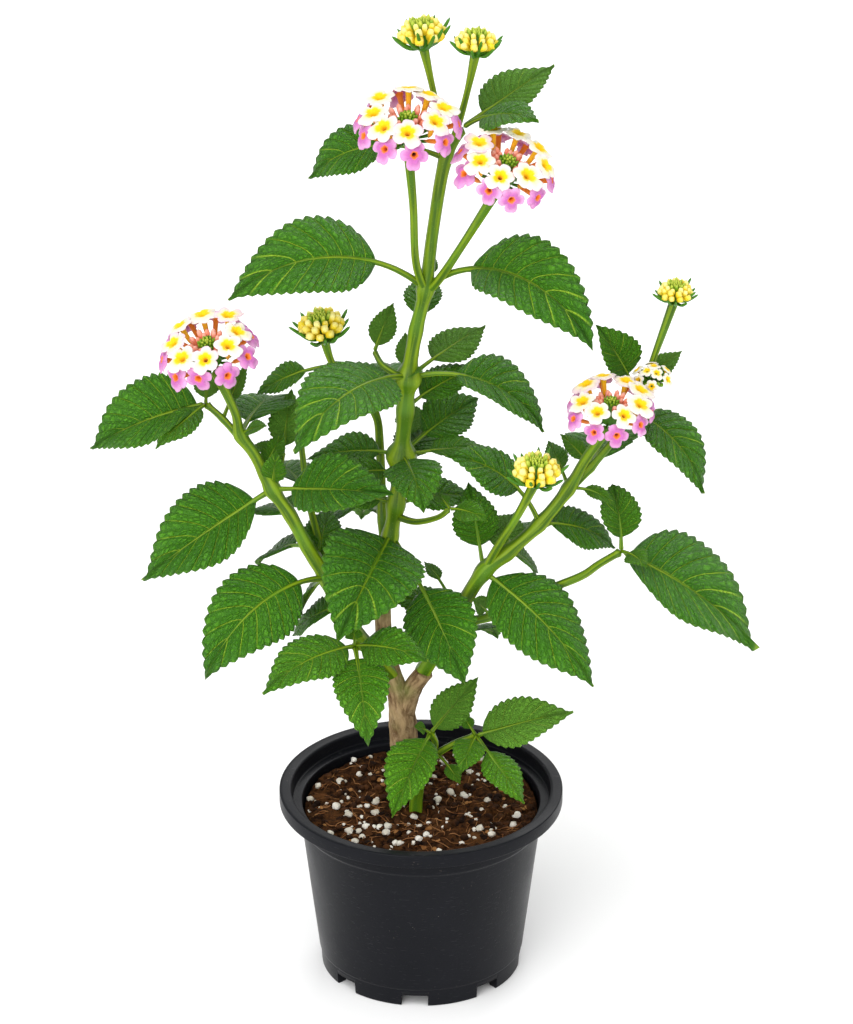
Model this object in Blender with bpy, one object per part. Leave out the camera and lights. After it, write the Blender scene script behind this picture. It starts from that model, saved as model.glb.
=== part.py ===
"""A lantana in a nursery pot, 431 mm tall: the pot, its soil, a short woody trunk, leafy stems, and heads.

Every row below is in millimetres and degrees, in the part's own frame: +Z up, the origin on the ground
under the pot's axis, +X to the right of the plant's best side and -Y towards it. A mesh becomes metres
when it becomes an object. Neighbouring solids keep a gap of GAP.
"""

import math

import bmesh
import bpy
from mathutils import Matrix, Vector

MM = 0.001
GAP = 0.3

# Pot
RIM_RADIUS = 60.0
POT_HEIGHT = 83.0
LIP_WIDTH = 5.2
LIP_DEPTH = 6.0
WALL = 1.2
SHOULDER_RADIUS = 51.0
SHOULDER_HEIGHT = 68.5
COLLAR_RADIUS = 51.6
LEDGE_DEPTH = 6.0
FOOT_RADIUS = 43.0
FOOT_WIDTH = 5.0
FOOT_HEIGHT = 5.5
FOOT_COUNT = 8
FOOT_GAP_ANGLE = 15.0
FIRST_GAP_ANGLE = -93.6
BASE_THICKNESS = 1.5
DRAIN_RADIUS = 4.0
DRAIN_RING = 25.0
DRAIN_COUNT = 4
POT_SEGMENTS = 36

# Soil
SOIL_HEIGHT = 75.0
SOIL_BUMP = 1.1
SOIL_RINGS = 6
SOIL_SEGMENTS = 18

# Stems: rows of x, y, z and radius, from the lower end up
STEMS = {
    "trunk": [
        (-6, 10, 54, 5.9), (-7, 10, 90, 5.8), (-8, 10, 113, 5.6), (-10, 9, 124, 4.4), (-14, 8, 141, 3.6),
        (-16, 7, 159, 3.4), (-15, 5, 181, 3.3), (-13, 4, 195, 3.2),
    ],
    "trunk_arm": [(-8, 10, 111, 4.8), (-4, 8, 125, 4.2), (2, 5, 136, 3.8)],
    "central": [
        (-14, 4, 192, 3.2), (-10, 3, 217, 3.2), (-8, 2, 238, 3.3), (-5, 0, 274, 3.2), (-2, 0, 295, 2.9),
        (2, 0, 314, 2.9), (5, 0, 340, 2.6), (10, 0, 371, 2.7), (17, 2, 384, 1.9),
    ],
    "head_1_stalk": [(2, 0, 312, 1.9), (-2, -7, 329, 1.7), (-3, -13, 356, 1.7), (-5, -18, 383, 2.2)],
    "head_2_stalk": [(2, 0, 312, 1.9), (8, -5, 321, 1.8), (18, -13, 341, 1.7), (31, -21, 367, 2.2)],
    "bud_1_stalk": [(9, 0, 368, 1.8), (7, 4, 388, 1.4), (4, 6, 403, 1.4), (1, 7, 417, 2.2)],
    "bud_2_stalk": [(12, 1, 375, 1.6), (16, 3, 388, 1.5), (19, 4, 400, 1.4), (22, 5, 415, 2.2)],
    "central_twig": [(-5, 0, 272, 1.5), (-11, -4, 278, 1.3), (-16, -2, 281, 1.2), (-19, 6, 283, 1.1)],
    "central_spur": [(-10, 3, 209, 1.6), (-2, -8, 212, 1.4), (7, -18, 219, 1.2), (12, -22, 225, 1.1)],
    "back": [
        (-14, 5, 186, 2.4), (-16, 12, 203, 2.1), (-17, 18, 234, 1.9), (-19, 19, 249, 1.7),
        (-28, 17, 263, 1.5), (-36, 14, 273, 1.4), (-40, 12, 287, 2.2),
    ],
    "left": [
        (-12, 8, 132, 3.4), (-25, -6, 157, 3.1), (-34, -12, 174, 3.0), (-39, -14, 189, 3.0),
        (-47, -14, 204, 2.8), (-54, -13, 218, 2.7), (-61, -12, 229, 2.6), (-68, -11, 244, 2.4),
        (-74, -10, 253, 2.4), (-76, -11, 264, 1.9), (-84, -11, 283, 2.2),
    ],
    "left_shoot": [(-73, -10, 250, 1.7), (-81, -8, 259, 1.4), (-88, -6, 265, 1.3)],
    "left_twig": [(-61, -12, 229, 1.5), (-58, -4, 234, 1.3), (-57, 4, 238, 1.1)],
    "left_back": [(-39, -14, 191, 2.0), (-43, -2, 203, 1.7), (-47, 8, 217, 1.5), (-50, 16, 240, 1.3)],
    "right": [
        (0, 7, 133, 3.6), (8, 0, 151, 3.4), (15, -4, 167, 3.2), (26, -8, 189, 3.0), (36, -8, 198, 2.7),
        (49, -6, 210, 2.6), (61, -3, 225, 2.5), (68, -7, 241, 2.0), (77, -11, 257, 2.2),
    ],
    "bud_5_stalk": [(25, -7, 187, 1.9), (33, -14, 206, 1.7), (40, -19, 221, 1.7), (47, -23, 238, 2.2)],
    "right_top": [
        (60, -3, 223, 1.8), (70, 2, 232, 1.6), (81, 8, 244, 1.5), (90, 13, 258, 1.5), (95, 14, 274, 1.3),
        (104, 14, 303, 2.0),
    ],
    "young_stalk": [(88, 12, 254, 1.3), (92, 9, 262, 1.2), (95, 7, 268, 1.5)],
    "low_right": [
        (14, -4, 163, 2.2), (29, -6, 167, 1.8), (47, 0, 174, 1.7), (66, -3, 184, 1.7),
        (74, -5, 191, 1.6), (83, -9, 199, 1.5),
    ],
    "front": [(-18, 2, 145, 2.0), (-20, -15, 155, 1.7), (-24, -34, 167, 1.6), (-27, -42, 172, 1.6)],
    "base": [(-2, -6, 58, 3.0), (-2, -6, 80, 2.9), (1, -8, 93, 2.2), (6, -10, 105, 1.9)],
    "base_up": [(5, -10, 103, 1.6), (6, -9, 109, 1.5), (4, -10, 114, 1.4)],
    "base_right": [(5, -10, 103, 1.6), (14, -12, 110, 1.4), (23, -14, 115, 1.3)],
}

# Leafy stems: the runs that grow together in each node, and the stem that each node is seated against
LEAFY_STEMS = {
    "trunk": (("trunk", "trunk_arm"), ()),
    "central_stem": (
        (
            "central", "head_1_stalk", "head_2_stalk", "bud_1_stalk", "bud_2_stalk", "central_twig",
            "central_spur",
        ),
        ("trunk",),
    ),
    "back_stem": (("back",), ("trunk", "central")),
    "left_stem": (("left", "left_shoot", "left_twig"), ("trunk",)),
    "left_back_shoot": (("left_back",), ("left",)),
    "right_stem": (("right", "bud_5_stalk", "right_top", "young_stalk"), ("trunk", "trunk_arm")),
    "low_right_shoot": (("low_right",), ("right",)),
    "front_shoot": (("front",), ("left",)),
    "base_shoot": (("base", "base_up", "base_right"), ()),
}

# Leaves: stem, its row (with a share of the way to the next), heading and rise of the stalk, lengths of
# stalk and blade, droop to the tip, tilt of the face to the front, the blade's width over its length, and
# how steeply its halves fold up from the midrib, where that isn't FOLD
LEAVES = {
    "central_stem": [
        ("central", 7, 166, 23, 24, 40, 74, 30, 0.62),
        ("central", 8, 37, 21, 11, 38, 3, 12, 0.62),
        ("central", 8, 317, 40, 12, 32, 39, 24, 0.62, 0.05),
        ("central", 5, 194, 46, 25, 66, 86, 34, 0.57),
        ("central", 5, 328, 48, 26, 67, 108, 30, 0.52, 0.36),
        ("central", 3, 232, 27, 14, 65, 60, 21, 0.58),
        ("central", 3, 354, 20, 20, 46, 82, 12, 0.62, 0.36),
        ("central", 3, 45, 17, 15, 31, 10, 19, 0.62, 0.05),
        ("central_twig", 3, 58, 51, 3, 19, 5, 45, 0.60),
        ("central", 2, 46, 22, 15, 33, 19, 48, 0.64, 0.48),
        ("central", 2, 80, 14, 15, 22, 10, 30, 0.60),
        ("central", 2, 8, 7, 12, 24, 9, 10, 0.62, 0.32),
        ("central", 2, 284, 14, 8, 33, 50, 30, 0.72),
        ("central", 2, 162, 4, 10, 33, 30, 25, 0.55),
        ("central", 1, 138, -15, 19, 31, 30, 20, 0.60),
        ("central", 0.35, 251, -13, 4, 64, 4, 60, 0.66, 0.50),
        ("central", 0.35, 309, -36, 28, 43, 20, 50, 0.70, 0.35),
        ("central_spur", 3, 325, 17, 3, 16, 35, 30, 0.70),
        ("central", 4, 80, 34, 9, 26, 30, 5, 0.60),
    ],
    "left_stem": [
        ("left", 3, 222, 20, 15, 62, 80, 46, 0.56, 0.08),
        ("left", 6, 187, -31, 9, 58, 7, 33, 0.63, 0.38),
        ("left_shoot", 2, 168, -16, 4, 52.5, 21, 30, 0.62, 0.52),
        ("left_shoot", 2, 220, -17, 3, 26, 14, 0, 0.62, 0.05),
        ("left_shoot", 2, 88, 34, 3, 15, 10, 40, 0.70),
        ("left_shoot", 1, 51, 56, 8, 17, 10, 30, 0.40),
        ("left_twig", 2, 79, 53, 3, 25, 10, 40, 0.60),
        ("left_twig", 2, 155, 14, 3, 12, 30, 25, 0.60),
        ("left", 6, 335, 14, 9, 47, 8, 34, 0.63, 0.36),
        ("left", 6, 288, 75, 4, 17, 5, 60, 0.60),
        ("left", 5, 112, -11, 7, 36, 20, 20, 0.60),
        ("left", 4, 127, -17, 11, 33, 30, 20, 0.60),
        ("left", 3, 113, -31, 16, 29, 30, 30, 0.60),
        ("left", 2, 133, -24, 7, 32, 30, 30, 0.55),
        ("left", 8, 74, 12, 12, 46, 40, -10, 0.60),
    ],
    "back_stem": [
        ("back", 5, 166, -12, 13, 25, 30, 30, 0.55),
        ("back", 3, 84, 14, 12, 54, 40, -25, 0.60),
        ("back", 1, 100, -4, 12, 50, 40, -25, 0.60),
    ],
    "left_back_shoot": [
        ("left_back", 2, 110, 10, 10, 40, 40, -20, 0.58),
    ],
    "right_stem": [
        ("right", 3, 329, -21, 5, 62, 30, 20, 0.61, 0.05),
        ("right", 2, 127, 55, 17, 11, 40, 10, 0.60),
        ("right", 3, 108, 62, 11, 27, 10, 60, 0.72),
        ("right", 5, 188, 73, 19, 36, 63, 25, 0.61, 0.05),
        ("right", 5, 21, -3, 6, 34, 47, 26, 0.62, 0.05),
        ("right", 4, 47, -26, 6, 20, 30, 30, 0.60),
        ("right", 6, 340, 17, 7, 15, 60, 30, 0.45),
        ("right", 6, 111, 37, 10, 16, 20, 40, 0.60),
        ("right_top", 2.7, 331, -11, 3, 45, 60, 2, 0.61),
        ("right_top", 3, 166, 68, 12, 25, 16, 36, 0.70, 0.70),
        ("right_top", 3, 36, 57, 11, 17, 41, 21, 0.62),
        ("right_top", 1, 78, 8, 12, 54, 40, -25, 0.60),
        ("right", 4, 84, 4, 14, 52, 45, -25, 0.60),
        ("right", 1, 62, 0, 12, 46, 40, -15, 0.60),
    ],
    "low_right_shoot": [
        ("low_right", 5, 356, -24, 4, 69, 24, 15, 0.70, 0.33),
        ("low_right", 5, 102, 85, 6, 25, 66, -8, 0.68, 0.60),
        ("low_right", 5, 300, 20, 6, 14, 30, 40, 0.70),
        ("low_right", 1, 238, 52, 6, 14, 15, 50, 0.60),
    ],
    "front_shoot": [
        ("front", 3, 213, 11, 4, 43, 43, 22, 0.60, 0.08),
        ("front", 3, 278, -20, 7, 40, 24, 14, 0.57, 0.46),
        ("front", 3, 330, 21, 3, 32, 34, 32, 0.62, 0.11),
        ("front", 3, 260, 70, 4, 9, 10, 50, 0.80),
    ],
    "base_shoot": [
        ("base_up", 2, 237, -34, 3, 37, 14, 12, 0.60, 0.50),
        ("base_up", 2, 31, 42, 3, 28, 3, 62, 0.58, 0.30),
        ("base_right", 2, 5, 17, 3, 39, 6, 26, 0.62, 0.24),
        ("base_right", 2, 313, -32, 9, 27, 3, 9, 0.62, 0.05),
        ("base_right", 2, 251, -5, 3, 18, 35, 30, 0.75),
    ],
}

THICK_RADIUS = 2.5
BLADE_THICKNESS = 0.7
STALK_THICKNESS = 1.5
FOLD = 0.2
BASE_ROUNDING = 0.7
TIP_TAPER = 1.25
BLADE_PEAK = 0.28
NOTCH_WIDTH = 0.86
TOOTH_WIDTH = 1.05
TOOTH_LEAN = 0.62

LOBE_REACH = 0.52
LOBE_NOTCH = 0.30
LOBE_LIFT = 0.07
LOBE_THICKNESS = 0.65
CORE_SHARE = 0.27
CORE_HEIGHT_SHARE = 0.19
HEAD_SINK = 3.0
BUD_SINK = 2.5

# Heads in flower: stalk, width, heading and lean of the axis from upright
FLOWER_HEADS = {
    "flower_head_1": ("head_1_stalk", 48, 270, 14),
    "flower_head_2": ("head_2_stalk", 47, 310, 24),
    "flower_head_3": ("left", 46, 240, 22),
    "flower_head_4": ("right", 42, 280, 16),
    "young_head": ("young_stalk", 19, 270, 20),
}
# Rings on a head one unit wide: count, distance from the axis, height, tilt outward, width and depth
FLORET_RINGS = ((8, 0.40, 0.0, 68, 0.26, 0.21), (6, 0.27, 0.18, 30, 0.24, 0.20))
YOUNG_RINGS = ((5, 0.35, 0.12, 58, 0.32, 0.20), (2, 0.15, 0.24, 25, 0.28, 0.16))
INNER_BUDS = ((5, 0.09, 0.20, 10, 0.08, 0.12),)

# Heads in bud: stalk, width, heading and lean of the axis from upright
BUD_HEADS = {
    "bud_head_1": ("bud_1_stalk", 24, 150, 6),
    "bud_head_2": ("bud_2_stalk", 21, 60, 6),
    "bud_head_3": ("back", 24, 220, 12),
    "bud_head_4": ("right_top", 18, 300, 6),
    "bud_head_5": ("bud_5_stalk", 24, 280, 10),
}
BUD_RINGS = ((8, 62, 0.42), (4, 30, 0.42))
BRACT_COUNT = 6

COLOURS = {
    "pot": ((0.035, 0.036, 0.040), 0.45),
    "soil": ((0.045, 0.026, 0.016), 0.95),
    "trunk": ((0.30, 0.22, 0.12), 0.85),
    "leafy_stem": ((0.10, 0.25, 0.04), 0.5),
    "flower_head": ((0.80, 0.45, 0.58), 0.6),
    "bud_head": ((0.45, 0.50, 0.12), 0.6),
}


def clear_scene():
    for old in list(bpy.data.objects):
        bpy.data.objects.remove(old)


def make_material(name, kind):
    colour, roughness = COLOURS[kind]
    material = bpy.data.materials.new(name + "_finish")
    material.use_nodes = True
    shader = material.node_tree.nodes["Principled BSDF"]
    shader.inputs["Base Color"].default_value = (*colour, 1.0)
    shader.inputs["Roughness"].default_value = roughness
    shader.inputs["Metallic"].default_value = 0.0
    return material


def make_object(name, shape, material=None):
    """An object of a bmesh in millimetres, in metres, with its faces pointing out."""
    bmesh.ops.recalc_face_normals(shape, faces=shape.faces)
    bmesh.ops.scale(shape, vec=(MM, MM, MM), verts=shape.verts)
    mesh = bpy.data.meshes.new(name)
    shape.to_mesh(mesh)
    shape.free()
    made = bpy.data.objects.new(name, mesh)
    bpy.context.scene.collection.objects.link(made)
    if material:
        mesh.materials.append(material)
    return made


def apply_modifiers(made):
    graph = bpy.context.evaluated_depsgraph_get()
    mesh = bpy.data.meshes.new_from_object(made.evaluated_get(graph))
    made.modifiers.clear()
    made.data = mesh
    mesh.name = made.name


def combine(made, others, operation, solver="EXACT"):
    """The other objects united with this one, or cut from it, by one Boolean on a collection."""
    helpers = bpy.data.collections.new(made.name + "_helpers")
    for other in others:
        helpers.objects.link(other)
    boolean = made.modifiers.new(operation.title(), "BOOLEAN")
    boolean.operation = operation
    boolean.operand_type = "COLLECTION"
    boolean.collection = helpers
    boolean.solver = solver
    apply_modifiers(made)
    for other in others:
        bpy.data.objects.remove(other)
    bpy.data.collections.remove(helpers)


def finish(made, crease=40):
    made.data.shade_smooth()
    made.data.set_sharp_from_angle(angle=math.radians(crease))


def bridge(shape, lower, upper):
    """Quads between two rings with as many vertices, alike in turn."""
    count = len(lower)
    for i in range(count):
        j = (i + 1) % count
        shape.faces.new((lower[i], lower[j], upper[j], upper[i]))


def smooth_path(rows):
    """The rows of a thick stem with one more between each two, on a Catmull-Rom curve."""
    points = [Vector(row) for row in rows]
    if rows[0][3] < THICK_RADIUS:
        return points
    made = [points[0]]
    for i in range(len(points) - 1):
        before = points[max(i - 1, 0)]
        after = points[min(i + 2, len(points) - 1)]
        middle = (points[i] + points[i + 1]) * 0.5625 - (before + after) * 0.0625
        made += [middle, points[i + 1]]
    return made


def stem_shape(rows, grown=0.0):
    """A tube along a stem's rows, grown by a gap on every side where it is a cutter."""
    path = smooth_path(rows)
    centres = [Vector(point[:3]) for point in path]
    sides = 8 if rows[0][3] >= THICK_RADIUS else 6
    shape = bmesh.new()
    across = None
    rings = []
    last = len(centres) - 1
    for i, centre in enumerate(centres):
        along = (centres[min(i + 1, last)] - centres[max(i - 1, 0)]).normalized()
        if across is None:
            across = along.orthogonal().normalized()
        across = (across - along * across.dot(along)).normalized()
        beside = along.cross(across)
        radius = path[i][3] + grown
        if i == 0:
            centre = centre - along * grown
        if i == last:
            centre = centre + along * grown
        ring = []
        for k in range(sides):
            turn = 2 * math.pi * k / sides
            arm = across * math.cos(turn) + beside * math.sin(turn)
            ring.append(shape.verts.new(centre + arm * radius))
        rings.append(ring)
    for lower, upper in zip(rings, rings[1:]):
        bridge(shape, lower, upper)
    shape.faces.new(reversed(rings[0]))
    shape.faces.new(rings[-1])
    return shape


def half_width(share):
    """Half the width of an egg-shaped blade one wide, at a share of its length: round below, pointed above."""
    return 0.5 * share ** BASE_ROUNDING * (1 - share) ** TIP_TAPER / BLADE_PEAK


def leaf_shape(root, heading, rise, stalk, blade, droop, face, ratio, fold=FOLD):
    """A stalk and a toothed blade on one arc, folded along the midrib."""
    length = stalk + blade
    bend = math.radians(droop)
    pitch = math.radians(rise)
    outward = Vector((math.cos(math.radians(heading)), math.sin(math.radians(heading)), 0))
    up = Vector((0, 0, 1))
    facing = Vector((0, -math.sin(math.radians(face)), math.cos(math.radians(face))))
    teeth = 5 if blade >= 56 else 4 if blade >= 36 else 3
    shape = bmesh.new()
    drop = shape.verts.layers.float_vector.new("drop")

    def add(distance, offset, thickness):
        now = pitch - bend * distance / length
        radius = length / bend
        reach = radius * (math.sin(pitch) - math.sin(now))
        climb = radius * (math.cos(now) - math.cos(pitch))
        centre = root + outward * reach + up * climb
        along = outward * math.cos(now) + up * math.sin(now)
        normal = (facing - along * facing.dot(along)).normalized()
        side = along.cross(normal)
        lift = fold * abs(offset) + thickness / 2
        vertex = shape.verts.new(centre + side * offset + normal * lift)
        vertex[drop] = -normal * thickness
        return vertex

    def station(distance, half, thickness):
        return [add(distance, sign * half, thickness) for sign in (-1, 0, 1)]

    def strip(near, far):
        for k in (0, 1):
            shape.faces.new((near[k], near[k + 1], far[k + 1]))
            shape.faces.new((near[k], far[k + 1], far[k]))

    root_row = station(0, STALK_THICKNESS / 2, STALK_THICKNESS)
    base_row = station(stalk, STALK_THICKNESS / 2, STALK_THICKNESS)
    strip(root_row, base_row)
    row = base_row
    width = blade * ratio
    for tooth in range(teeth):
        point = stalk + blade * (tooth + TOOTH_LEAN) / teeth
        reach = width * half_width((tooth + TOOTH_LEAN) / teeth) * TOOTH_WIDTH
        if tooth == teeth - 1:
            tip = add(length, 0, BLADE_THICKNESS)
            ahead = [tip, tip, tip]
        else:
            notch = (tooth + 1) / teeth
            ahead = station(stalk + blade * notch, width * half_width(notch) * NOTCH_WIDTH, BLADE_THICKNESS)
        for k, sign in ((0, -1), (2, 1)):
            outer = add(point, sign * reach, BLADE_THICKNESS)
            corners = [(row[1], outer, row[k]), (row[1], ahead[1], outer)]
            if tooth < teeth - 1:
                corners.append((ahead[1], ahead[k], outer))
            for corner in corners:
                shape.faces.new(corner if sign > 0 else reversed(corner))
        row = ahead
    lower = bmesh.ops.extrude_face_region(shape, geom=shape.faces[:], use_keep_orig=True)["geom"]
    for vertex in lower:
        if isinstance(vertex, bmesh.types.BMVert):
            vertex.co += vertex[drop]
    return shape


def axis_frame(heading, lean):
    """A matrix whose Z leans from upright towards a heading."""
    return Matrix.Rotation(math.radians(heading), 3, "Z") @ Matrix.Rotation(math.radians(lean), 3, "Y")


def ring_points(centre, frame, radii, height=0.0):
    count = len(radii)
    points = []
    for k, radius in enumerate(radii):
        turn = 2 * math.pi * (k + 0.5) / count
        points.append(centre + frame @ Vector((radius * math.cos(turn), radius * math.sin(turn), height)))
    return points


def spike_shape(root, rings, top=None):
    """A closed form from a pointed root through rings of vertices to a flat or pointed top."""
    shape = bmesh.new()
    first = shape.verts.new(root)
    rows = [[shape.verts.new(point) for point in ring] for ring in rings]
    for k in range(len(rows[0])):
        shape.faces.new((first, rows[0][(k + 1) % len(rows[0])], rows[0][k]))
    for lower, upper in zip(rows, rows[1:]):
        if len(lower) == len(upper):
            bridge(shape, lower, upper)
            continue
        for k in range(len(lower)):
            near = (2 * k - 1) % len(upper)
            shape.faces.new((lower[k], upper[2 * k], upper[near]))
            shape.faces.new((lower[k], upper[2 * k + 1], upper[2 * k]))
            shape.faces.new((lower[k], lower[(k + 1) % len(lower)], upper[2 * k + 1]))
    if top is None:
        shape.faces.new(rows[-1])
    else:
        last = shape.verts.new(top)
        for k in range(len(rows[-1])):
            shape.faces.new((rows[-1][k], rows[-1][(k + 1) % len(rows[-1])], last))
    return shape


def floret_shape(centre, frame, depth, width):
    """A floret's slim tube opening into four lobes round a sunken throat."""
    lobes = [width * (LOBE_REACH if k % 2 else LOBE_NOTCH) for k in range(8)]
    cup = [width * (LOBE_LIFT if k % 2 else 0.02) for k in range(8)]
    turned = frame @ Matrix.Rotation(math.radians(22.5), 3, "Z")
    outline = ring_points(Vector(), Matrix.Identity(3), lobes)
    upper = [centre + turned @ (point + Vector((0, 0, cup[k]))) for k, point in enumerate(outline)]
    lower = [point - frame @ Vector((0, 0, LOBE_THICKNESS)) for point in upper]
    neck = ring_points(centre, frame, [width * 0.13] * 4, -0.22 * width)
    root = centre - frame @ Vector((0, 0, depth))
    return spike_shape(root, (neck, lower, upper), centre - frame @ Vector((0, 0, 0.45)))


def bud_shape(centre, frame, depth, width):
    """A square bud, widest near its top, on a tapering tube."""
    crown = ring_points(centre, frame, [width * 0.72] * 4, -0.2 * width)
    root = centre - frame @ Vector((0, 0, depth))
    return spike_shape(root, (crown,), centre + frame @ Vector((0, 0, 0.3 * width)))


def bract_shape(centre, frame, reach, width):
    """A narrow pointed bract, three-sided, from inside the core to its tip."""
    start = centre + frame @ Vector((0, 0, 0.3 * reach))
    root = centre + frame @ Vector((0, 0, 0.15 * reach))
    tip = centre + frame @ Vector((0, 0, reach))
    return spike_shape(root, (ring_points(start, frame, [width] * 3),), tip)


def core_shape(centre, frame, radius, height):
    """A low dome under florets or buds, round below."""
    shape = bmesh.new()
    bmesh.ops.create_uvsphere(shape, u_segments=8, v_segments=5, radius=1.0)
    bmesh.ops.scale(shape, vec=(radius, radius, height), verts=shape.verts)
    bmesh.ops.rotate(shape, cent=(0, 0, 0), matrix=frame, verts=shape.verts)
    bmesh.ops.translate(shape, vec=centre, verts=shape.verts)
    return shape


def stem_point(stem, row):
    """A place on a stem's axis, at a row or part of the way to the next."""
    rows = STEMS[stem]
    below = Vector(rows[int(row)][:3])
    above = Vector(rows[min(int(row) + 1, len(rows) - 1)][:3])
    return below.lerp(above, row - int(row))


def stalk_cutter(stem, name):
    return make_object(name + "_cutter", stem_shape(STEMS[stem], GAP))


def build_leafy_stem(name, runs, seats):
    kind = "trunk" if name == "trunk" else "leafy_stem"
    material = make_material(name, kind)
    pieces = [make_object(name + "_" + run, stem_shape(STEMS[run]), material) for run in runs]
    for stem, row, *form in LEAVES.get(name, ()):
        pieces.append(make_object(name + "_leaf", leaf_shape(stem_point(stem, row), *form), material))
    made = pieces[0]
    made.name = name
    if len(pieces) > 1:
        combine(made, pieces[1:], "UNION", "MANIFOLD")
    if seats:
        cutters = [stalk_cutter(seat, name) for seat in seats]
        combine(made, cutters, "DIFFERENCE", "MANIFOLD")
    finish(made)


def build_flower_head(name, stem, width, heading, lean):
    """A flat-topped head: rings of open florets round a few closed buds, over a core on the stalk."""
    top = Vector(STEMS[stem][-1][:3])
    frame = axis_frame(heading, lean)
    young = name == "young_head"
    core_radius = width * CORE_SHARE
    core_height = width * CORE_HEIGHT_SHARE
    centre = top + frame @ Vector((0, 0, core_radius - HEAD_SINK))
    material = make_material(name, "flower_head")
    made = make_object(name, core_shape(centre, frame, core_radius, core_height), material)
    pieces = []
    rings = YOUNG_RINGS if young else FLORET_RINGS
    for ring, (count, distance, height, tilt, size, depth) in enumerate(rings):
        for k in range(count):
            turn = frame @ Matrix.Rotation(2 * math.pi * (k + 0.5 * ring) / count, 3, "Z")
            place = centre + turn @ Vector((distance * width, 0, height * width))
            aim = turn @ Matrix.Rotation(math.radians(tilt), 3, "Y")
            floret = floret_shape(place, aim, depth * width, size * width)
            pieces.append(make_object("floret", floret, material))
    for count, distance, height, tilt, size, depth in INNER_BUDS:
        for k in range(count):
            turn = frame @ Matrix.Rotation(2 * math.pi * k / count, 3, "Z")
            place = centre + turn @ Vector((distance * width, 0, height * width))
            aim = turn @ Matrix.Rotation(math.radians(tilt), 3, "Y")
            bud = bud_shape(place, aim, depth * width, size * width)
            pieces.append(make_object("bud", bud, material))
    combine(made, pieces, "UNION", "MANIFOLD")
    combine(made, [stalk_cutter(stem, name)], "DIFFERENCE", "MANIFOLD")
    finish(made)


def build_bud_head(name, stem, width, heading, lean):
    """A dome of closed buds over a ring of narrow bracts."""
    top = Vector(STEMS[stem][-1][:3])
    frame = axis_frame(heading, lean)
    core_radius = width * CORE_SHARE
    centre = top + frame @ Vector((0, 0, core_radius - BUD_SINK))
    material = make_material(name, "bud_head")
    made = make_object(name, core_shape(centre, frame, core_radius, core_radius), material)
    pieces = []
    for ring, (count, tilt, reach) in enumerate(BUD_RINGS):
        for k in range(count):
            turn = frame @ Matrix.Rotation(2 * math.pi * (k + 0.5 * ring) / count, 3, "Z")
            aim = turn @ Matrix.Rotation(math.radians(tilt), 3, "Y")
            place = centre + aim @ Vector((0, 0, reach * width))
            bud = bud_shape(place, aim, (reach - 0.18) * width, 0.08 * width)
            pieces.append(make_object("bud", bud, material))
    for k in range(BRACT_COUNT):
        turn = frame @ Matrix.Rotation(2 * math.pi * (k + 0.25) / BRACT_COUNT, 3, "Z")
        aim = turn @ Matrix.Rotation(math.radians(86), 3, "Y")
        place = centre + frame @ Vector((0, 0, -0.1 * width))
        bract = bract_shape(place, aim, 0.5 * width, 0.06 * width)
        pieces.append(make_object("bract", bract, material))
    combine(made, pieces, "UNION", "MANIFOLD")
    combine(made, [stalk_cutter(stem, name)], "DIFFERENCE", "MANIFOLD")
    finish(made)


def turned_shape(profile, segments):
    """A profile of radius and height, from the axis round to the axis again, turned a full circle."""
    shape = bmesh.new()
    line = [shape.verts.new((radius, 0, height)) for radius, height in profile]
    edges = [shape.edges.new(pair) for pair in zip(line, line[1:])]
    bmesh.ops.spin(
        shape, geom=line + edges, cent=(0, 0, 0), axis=(0, 0, 1), angle=2 * math.pi, steps=segments,
        use_merge=True,
    )
    bmesh.ops.remove_doubles(shape, verts=shape.verts, dist=0.01)
    return shape


def cylinder_shape(centre, radius, height, segments=10):
    shape = bmesh.new()
    bmesh.ops.create_cone(
        shape, cap_ends=True, segments=segments, radius1=radius, radius2=radius, depth=height,
        matrix=Matrix.Translation(centre),
    )
    return shape


def foot_gap_shape(angle):
    """A block that parts two of the pot's feet."""
    middle = FOOT_RADIUS - FOOT_WIDTH / 2
    width = 2 * FOOT_RADIUS * math.sin(math.radians(FOOT_GAP_ANGLE / 2))
    shape = bmesh.new()
    bmesh.ops.create_cube(shape, size=1.0)
    bmesh.ops.scale(shape, vec=(FOOT_WIDTH + 6, width, 2 * (FOOT_HEIGHT - 0.2)), verts=shape.verts)
    bmesh.ops.translate(shape, vec=(middle, 0, 0), verts=shape.verts)
    turn = Matrix.Rotation(math.radians(angle), 3, "Z")
    bmesh.ops.rotate(shape, cent=(0, 0, 0), matrix=turn, verts=shape.verts)
    return shape


def wall_radius(height):
    """The pot's outer radius between its base and its shoulder."""
    share = (height - FOOT_HEIGHT) / (SHOULDER_HEIGHT - FOOT_HEIGHT)
    return FOOT_RADIUS + (SHOULDER_RADIUS - FOOT_RADIUS) * share


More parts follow.
